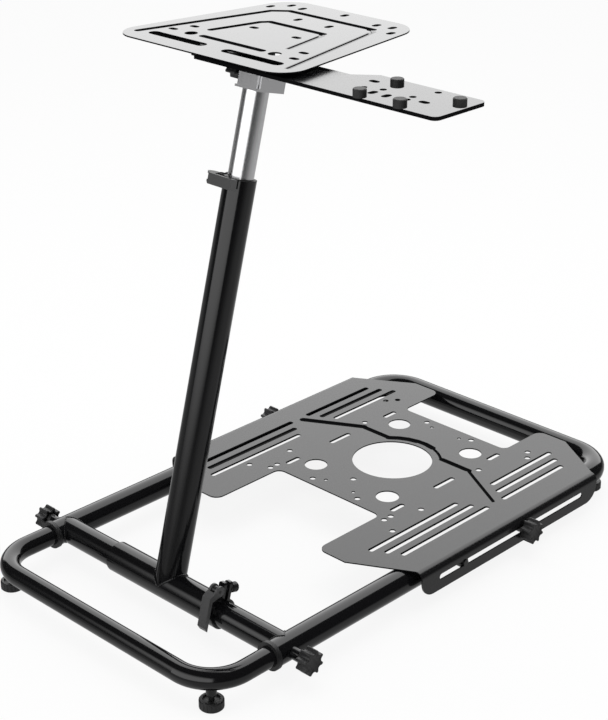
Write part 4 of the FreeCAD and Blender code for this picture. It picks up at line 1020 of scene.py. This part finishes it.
class STAND_OT_star_knobs(bpy.types.Operator):
    """Model the star knobs, whose lobes run right up to the face"""

    bl_idname = "stand.star_knobs"
    bl_label = "Star knobs"

    def execute(self, context):
        head = fittings().knob_head
        for nodes, hub, body in STAR_KNOBS:
            low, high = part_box(nodes[0])
            knob = star_knob(hub, high.x - low.x - head - hub)
            places = []
            for node in nodes:
                low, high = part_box(node)
                spot = (low + high) / 2
                side = 1 if spot.x > PIVOT.x else -1
                spot.x = high.x - head / 2 if side > 0 else low.x + head / 2
                turn = Matrix.Rotation(math.radians(90 * side), 4, "Y")
                places.append((f"{node}_lobed", Matrix.Translation(spot) @ turn, body))
            set_down(knob, places, "moulded_black")
            for node, (name, _, _) in zip(nodes, places):
                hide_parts(node)
        return {"FINISHED"}


class STAND_OT_washers(bpy.types.Operator):
    """Put the washer on the right of the tilt bolt"""

    bl_idname = "stand.washers"
    bl_label = "Washers"

    def execute(self, context):
        washer = bored_blank(40, fittings().washer, WASHER_DEPTH, WASHER_BORE)
        apply_bevel(washer, 0.25 * MM)
        smooth(washer)
        spot = Vector((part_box("head_bracket")[1].x + WASHER_DEPTH / 2, PIVOT.y, PIVOT.z))
        place = Matrix.Translation(spot) @ Matrix.Rotation(math.radians(90), 4, "Y")
        set_down(washer, [("pivot_washer_right", place, "mast")], "bright_zinc")
        return {"FINISHED"}


class STAND_OT_carrier_bolts(bpy.types.Operator):
    """Put the bolt heads under the carrier of the plates"""

    bl_idname = "stand.carrier_bolts"
    bl_label = "Carrier bolts"

    def execute(self, context):
        head = round_blank(6, fittings().carrier_bolt, BOLT_DEPTH)
        open_mesh(head)
        pick_faces(head, faces_down)
        bpy.ops.mesh.inset(thickness=BOLT_CROWN_INSET)
        bpy.ops.transform.translate(value=(0.0, 0.0, -BOLT_CROWN))
        pick_faces(head, faces_up)
        bpy.ops.mesh.extrude_region_shrink_fatten(TRANSFORM_OT_shrink_fatten={"value": BOLT_FLANGE})
        bpy.ops.transform.resize(value=(BOLT_FLANGE_GROWTH, BOLT_FLANGE_GROWTH, 1.0))
        close_mesh()
        apply_bevel(head, 0.3 * MM)
        smooth(head)
        places = []
        for spacer in SPACERS:
            spot = middle_of(spacer)
            spot.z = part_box("tilt_bracket")[1].z - BOLT_DROP
            places.append((spacer.replace("plate_spacer", "carrier_bolt"), Matrix.Translation(spot), "top"))
        set_down(head, places, "dark_steel")
        return {"FINISHED"}


def hang_top_box():
    """A soft box above that shows neither to the camera nor in reflections."""
    lamp = bpy.data.lights.new("top_box", "AREA")
    lamp.size = TOP_BOX_SIDE
    lamp.energy = stage_settings().top_power
    holder = bpy.data.objects.new("top_box", lamp)
    bpy.context.scene.collection.objects.link(holder)
    holder.location = TOP_BOX_PLACE
    holder.rotation_euler = (-TOP_BOX_PLACE).to_track_quat("-Z", "Y").to_euler()
    holder.visible_camera = False
    holder.visible_glossy = False


def seen_directly(tree):
    """One where the camera, a reflection or glass looks straight at the surface, else nought."""
    path = tree.nodes.new("ShaderNodeLightPath")
    total = path.outputs["Is Camera Ray"]
    for name in ("Is Glossy Ray", "Is Transmission Ray"):
        total = Sums(tree).math("MAXIMUM", total, path.outputs[name])
    return total


def light_world():
    """Even light round the stand, and plain white wherever the background itself is seen."""
    settings = stage_settings()
    world = bpy.data.worlds.new("Studio")
    bpy.context.scene.world = world
    world.use_nodes = True
    world.cycles.sampling_method = "NONE"
    tree = world.node_tree
    even = tree.nodes["Background"]
    even.inputs["Color"].default_value = (1.0, 1.0, 1.0, 1.0)
    even.inputs["Strength"].default_value = settings.sky_light
    white = tree.nodes.new("ShaderNodeBackground")
    white.inputs["Color"].default_value = (1.0, 1.0, 1.0, 1.0)
    white.inputs["Strength"].default_value = 1.0
    mix = tree.nodes.new("ShaderNodeMixShader")
    tree.links.new(seen_directly(tree), mix.inputs["Fac"])
    tree.links.new(even.outputs[0], mix.inputs[1])
    tree.links.new(white.outputs[0], mix.inputs[2])
    tree.links.new(mix.outputs[0], tree.nodes["World Output"].inputs["Surface"])


def lay_floor():
    """A pale floor, mostly plain white as it is seen, that keeps the stand's soft shadow."""
    settings = stage_settings()
    clear_selection()
    bpy.ops.mesh.primitive_plane_add(size=settings.floor_size)
    floor = bpy.context.active_object
    floor.name = "studio_floor"
    material, tree, shader, _ = new_material("Studio floor")
    tone = settings.floor_tone
    shader.inputs["Base Color"].default_value = (tone, tone, tone, 1.0)
    shader.inputs["Roughness"].default_value = 0.9
    shader.inputs["Specular IOR Level"].default_value = 0.0
    glow = tree.nodes.new("ShaderNodeEmission")
    glow.inputs["Strength"].default_value = 1.0
    mix = tree.nodes.new("ShaderNodeMixShader")
    tree.links.new(Sums(tree).product(seen_directly(tree), settings.floor_glow), mix.inputs["Fac"])
    tree.links.new(shader.outputs[0], mix.inputs[1])
    tree.links.new(glow.outputs[0], mix.inputs[2])
    tree.links.new(mix.outputs[0], tree.nodes["Material Output"].inputs["Surface"])
    floor.data.materials.append(material)
    # Reflections look through the floor at the studio's lower half
    floor.visible_glossy = False


def studio_brightness(tree):
    """Brightness of the studio at each place on it: panels above and in front, bounce from below."""
    settings = stage_settings()
    sums = Sums(tree)
    facing = tree.nodes.new("ShaderNodeVectorMath")
    facing.operation = "NORMALIZE"
    tree.links.new(tree.nodes.new("ShaderNodeTexCoord").outputs["Object"], facing.inputs[0])
    apart = tree.nodes.new("ShaderNodeSeparateXYZ")
    tree.links.new(facing.outputs[0], apart.inputs[0])
    x, y, z = (apart.outputs[axis] for axis in "XYZ")
    front, down = (sums.product(value, -1.0) for value in (y, z))
    panel = sums.product(
        sums.rise(sums.math("SUBTRACT", y, sums.product(z, PANEL_NEAR_SLANT)), *PANEL_NEAR),
        sums.rise(sums.math("SUBTRACT", sums.product(z, PANEL_RIGHT_SLANT), x), *PANEL_RIGHT),
        sums.rise(z, *PANEL_LOW))
    depth = sums.math("MAXIMUM", front, KEY_FRONT[0])
    across = sums.math("DIVIDE", x, depth)
    height = sums.math("DIVIDE", z, depth)
    key = sums.product(
        sums.rise(front, *KEY_FRONT),
        sums.rise(sums.plus(across, sums.product(height, KEY_SLANT)), *KEY_LEFT),
        sums.rise(sums.product(across, -1.0), *KEY_RIGHT),
        sums.rise(height, *KEY_LOW),
        sums.rise(sums.product(height, -1.0), *KEY_TOP))

    def bounce(steps):
        return sums.plus(*(sums.product(sums.rise(down, *edge), share) for edge, share in steps))

    right = sums.rise(x, *BOUNCE_TURN)
    low = sums.plus(sums.product(right, bounce(BOUNCE_RIGHT)),
                    sums.product(sums.rest(right), bounce(BOUNCE_LEFT)))
    return sums.plus(sums.product(panel, settings.panel_light), sums.product(key, settings.key_light),
                     sums.product(low, settings.low_light), settings.rest_light)


def hang_studio():
    """A far tent round the stand, seen only in reflections, with its bright panels and dark drapes."""
    clear_selection()
    bpy.ops.mesh.primitive_uv_sphere_add(segments=32, ring_count=16, radius=STUDIO_REACH)
    tent = bpy.context.active_object
    tent.name = "studio_tent"
    material = bpy.data.materials.new("Studio tent")
    material.use_nodes = True
    material.cycles.emission_sampling = "NONE"
    tree = material.node_tree
    tree.nodes.clear()
    glow = tree.nodes.new("ShaderNodeEmission")
    tree.links.new(studio_brightness(tree), glow.inputs["Strength"])
    out = tree.nodes.new("ShaderNodeOutputMaterial")
    tree.links.new(glow.outputs[0], out.inputs["Surface"])
    tent.data.materials.append(material)
    tent.visible_camera = False
    tent.visible_diffuse = False
    tent.visible_transmission = False
    tent.visible_shadow = False


class STAND_OT_stage(bpy.types.Operator):
    """Lay the floor and set the light and the camera"""

    bl_idname = "stand.stage"
    bl_label = "Stage"

    def execute(self, context):
        settings = stage_settings()
        context.scene.view_settings.view_transform = "Standard"
        light_world()
        lay_floor()
        hang_studio()
        hang_top_box()
        # The satin plate under the bumpers is too dull to mirror them
        for bumper in BUMPERS:
            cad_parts[bumper].visible_glossy = False
        lens = bpy.data.cameras.new("photo_camera")
        lens.lens = settings.camera_lens
        camera = bpy.data.objects.new("photo_camera", lens)
        context.scene.collection.objects.link(camera)
        camera.location = settings.camera_place
        camera.rotation_euler = settings.camera_turn
        context.scene.camera = camera
        return {"FINISHED"}


class STAND_PT_panel(bpy.types.Panel):
    """Sidebar list of the stand's operators"""

    bl_label = "Stand"
    bl_idname = "STAND_PT_panel"
    bl_space_type = "VIEW_3D"
    bl_region_type = "UI"
    bl_category = "Stand"

    def draw(self, context):
        for operator in OPERATORS:
            self.layout.operator(operator.bl_idname)


OPERATORS = (STAND_OT_finishes, STAND_OT_weld_beads, STAND_OT_slot_shade_sheet, STAND_OT_side_plate,
             STAND_OT_lock_nuts, STAND_OT_thumb_nuts, STAND_OT_star_knobs, STAND_OT_washers,
             STAND_OT_carrier_bolts, STAND_OT_stage)
CLASSES = (StandFinishes, StandFittings, StandStage, *OPERATORS, STAND_PT_panel)


def register():
    for item in CLASSES:
        bpy.utils.register_class(item)
    bpy.types.Scene.stand_finishes = bpy.props.PointerProperty(type=StandFinishes)
    bpy.types.Scene.stand_fittings = bpy.props.PointerProperty(type=StandFittings)
    bpy.types.Scene.stand_stage = bpy.props.PointerProperty(type=StandStage)


def unregister():
    del bpy.types.Scene.stand_stage
    del bpy.types.Scene.stand_fittings
    del bpy.types.Scene.stand_finishes
    for item in reversed(CLASSES):
        bpy.utils.unregister_class(item)


def main():
    register()
    bpy.ops.stand.finishes()
    bpy.ops.stand.weld_beads()
    bpy.ops.stand.slot_backing()
    bpy.ops.stand.side_plate()
    bpy.ops.stand.lock_nuts()
    bpy.ops.stand.thumb_nuts()
    bpy.ops.stand.star_knobs()
    bpy.ops.stand.washers()
    bpy.ops.stand.carrier_bolts()
    bpy.ops.stand.stage()


if __name__ == "__main__":
    main()
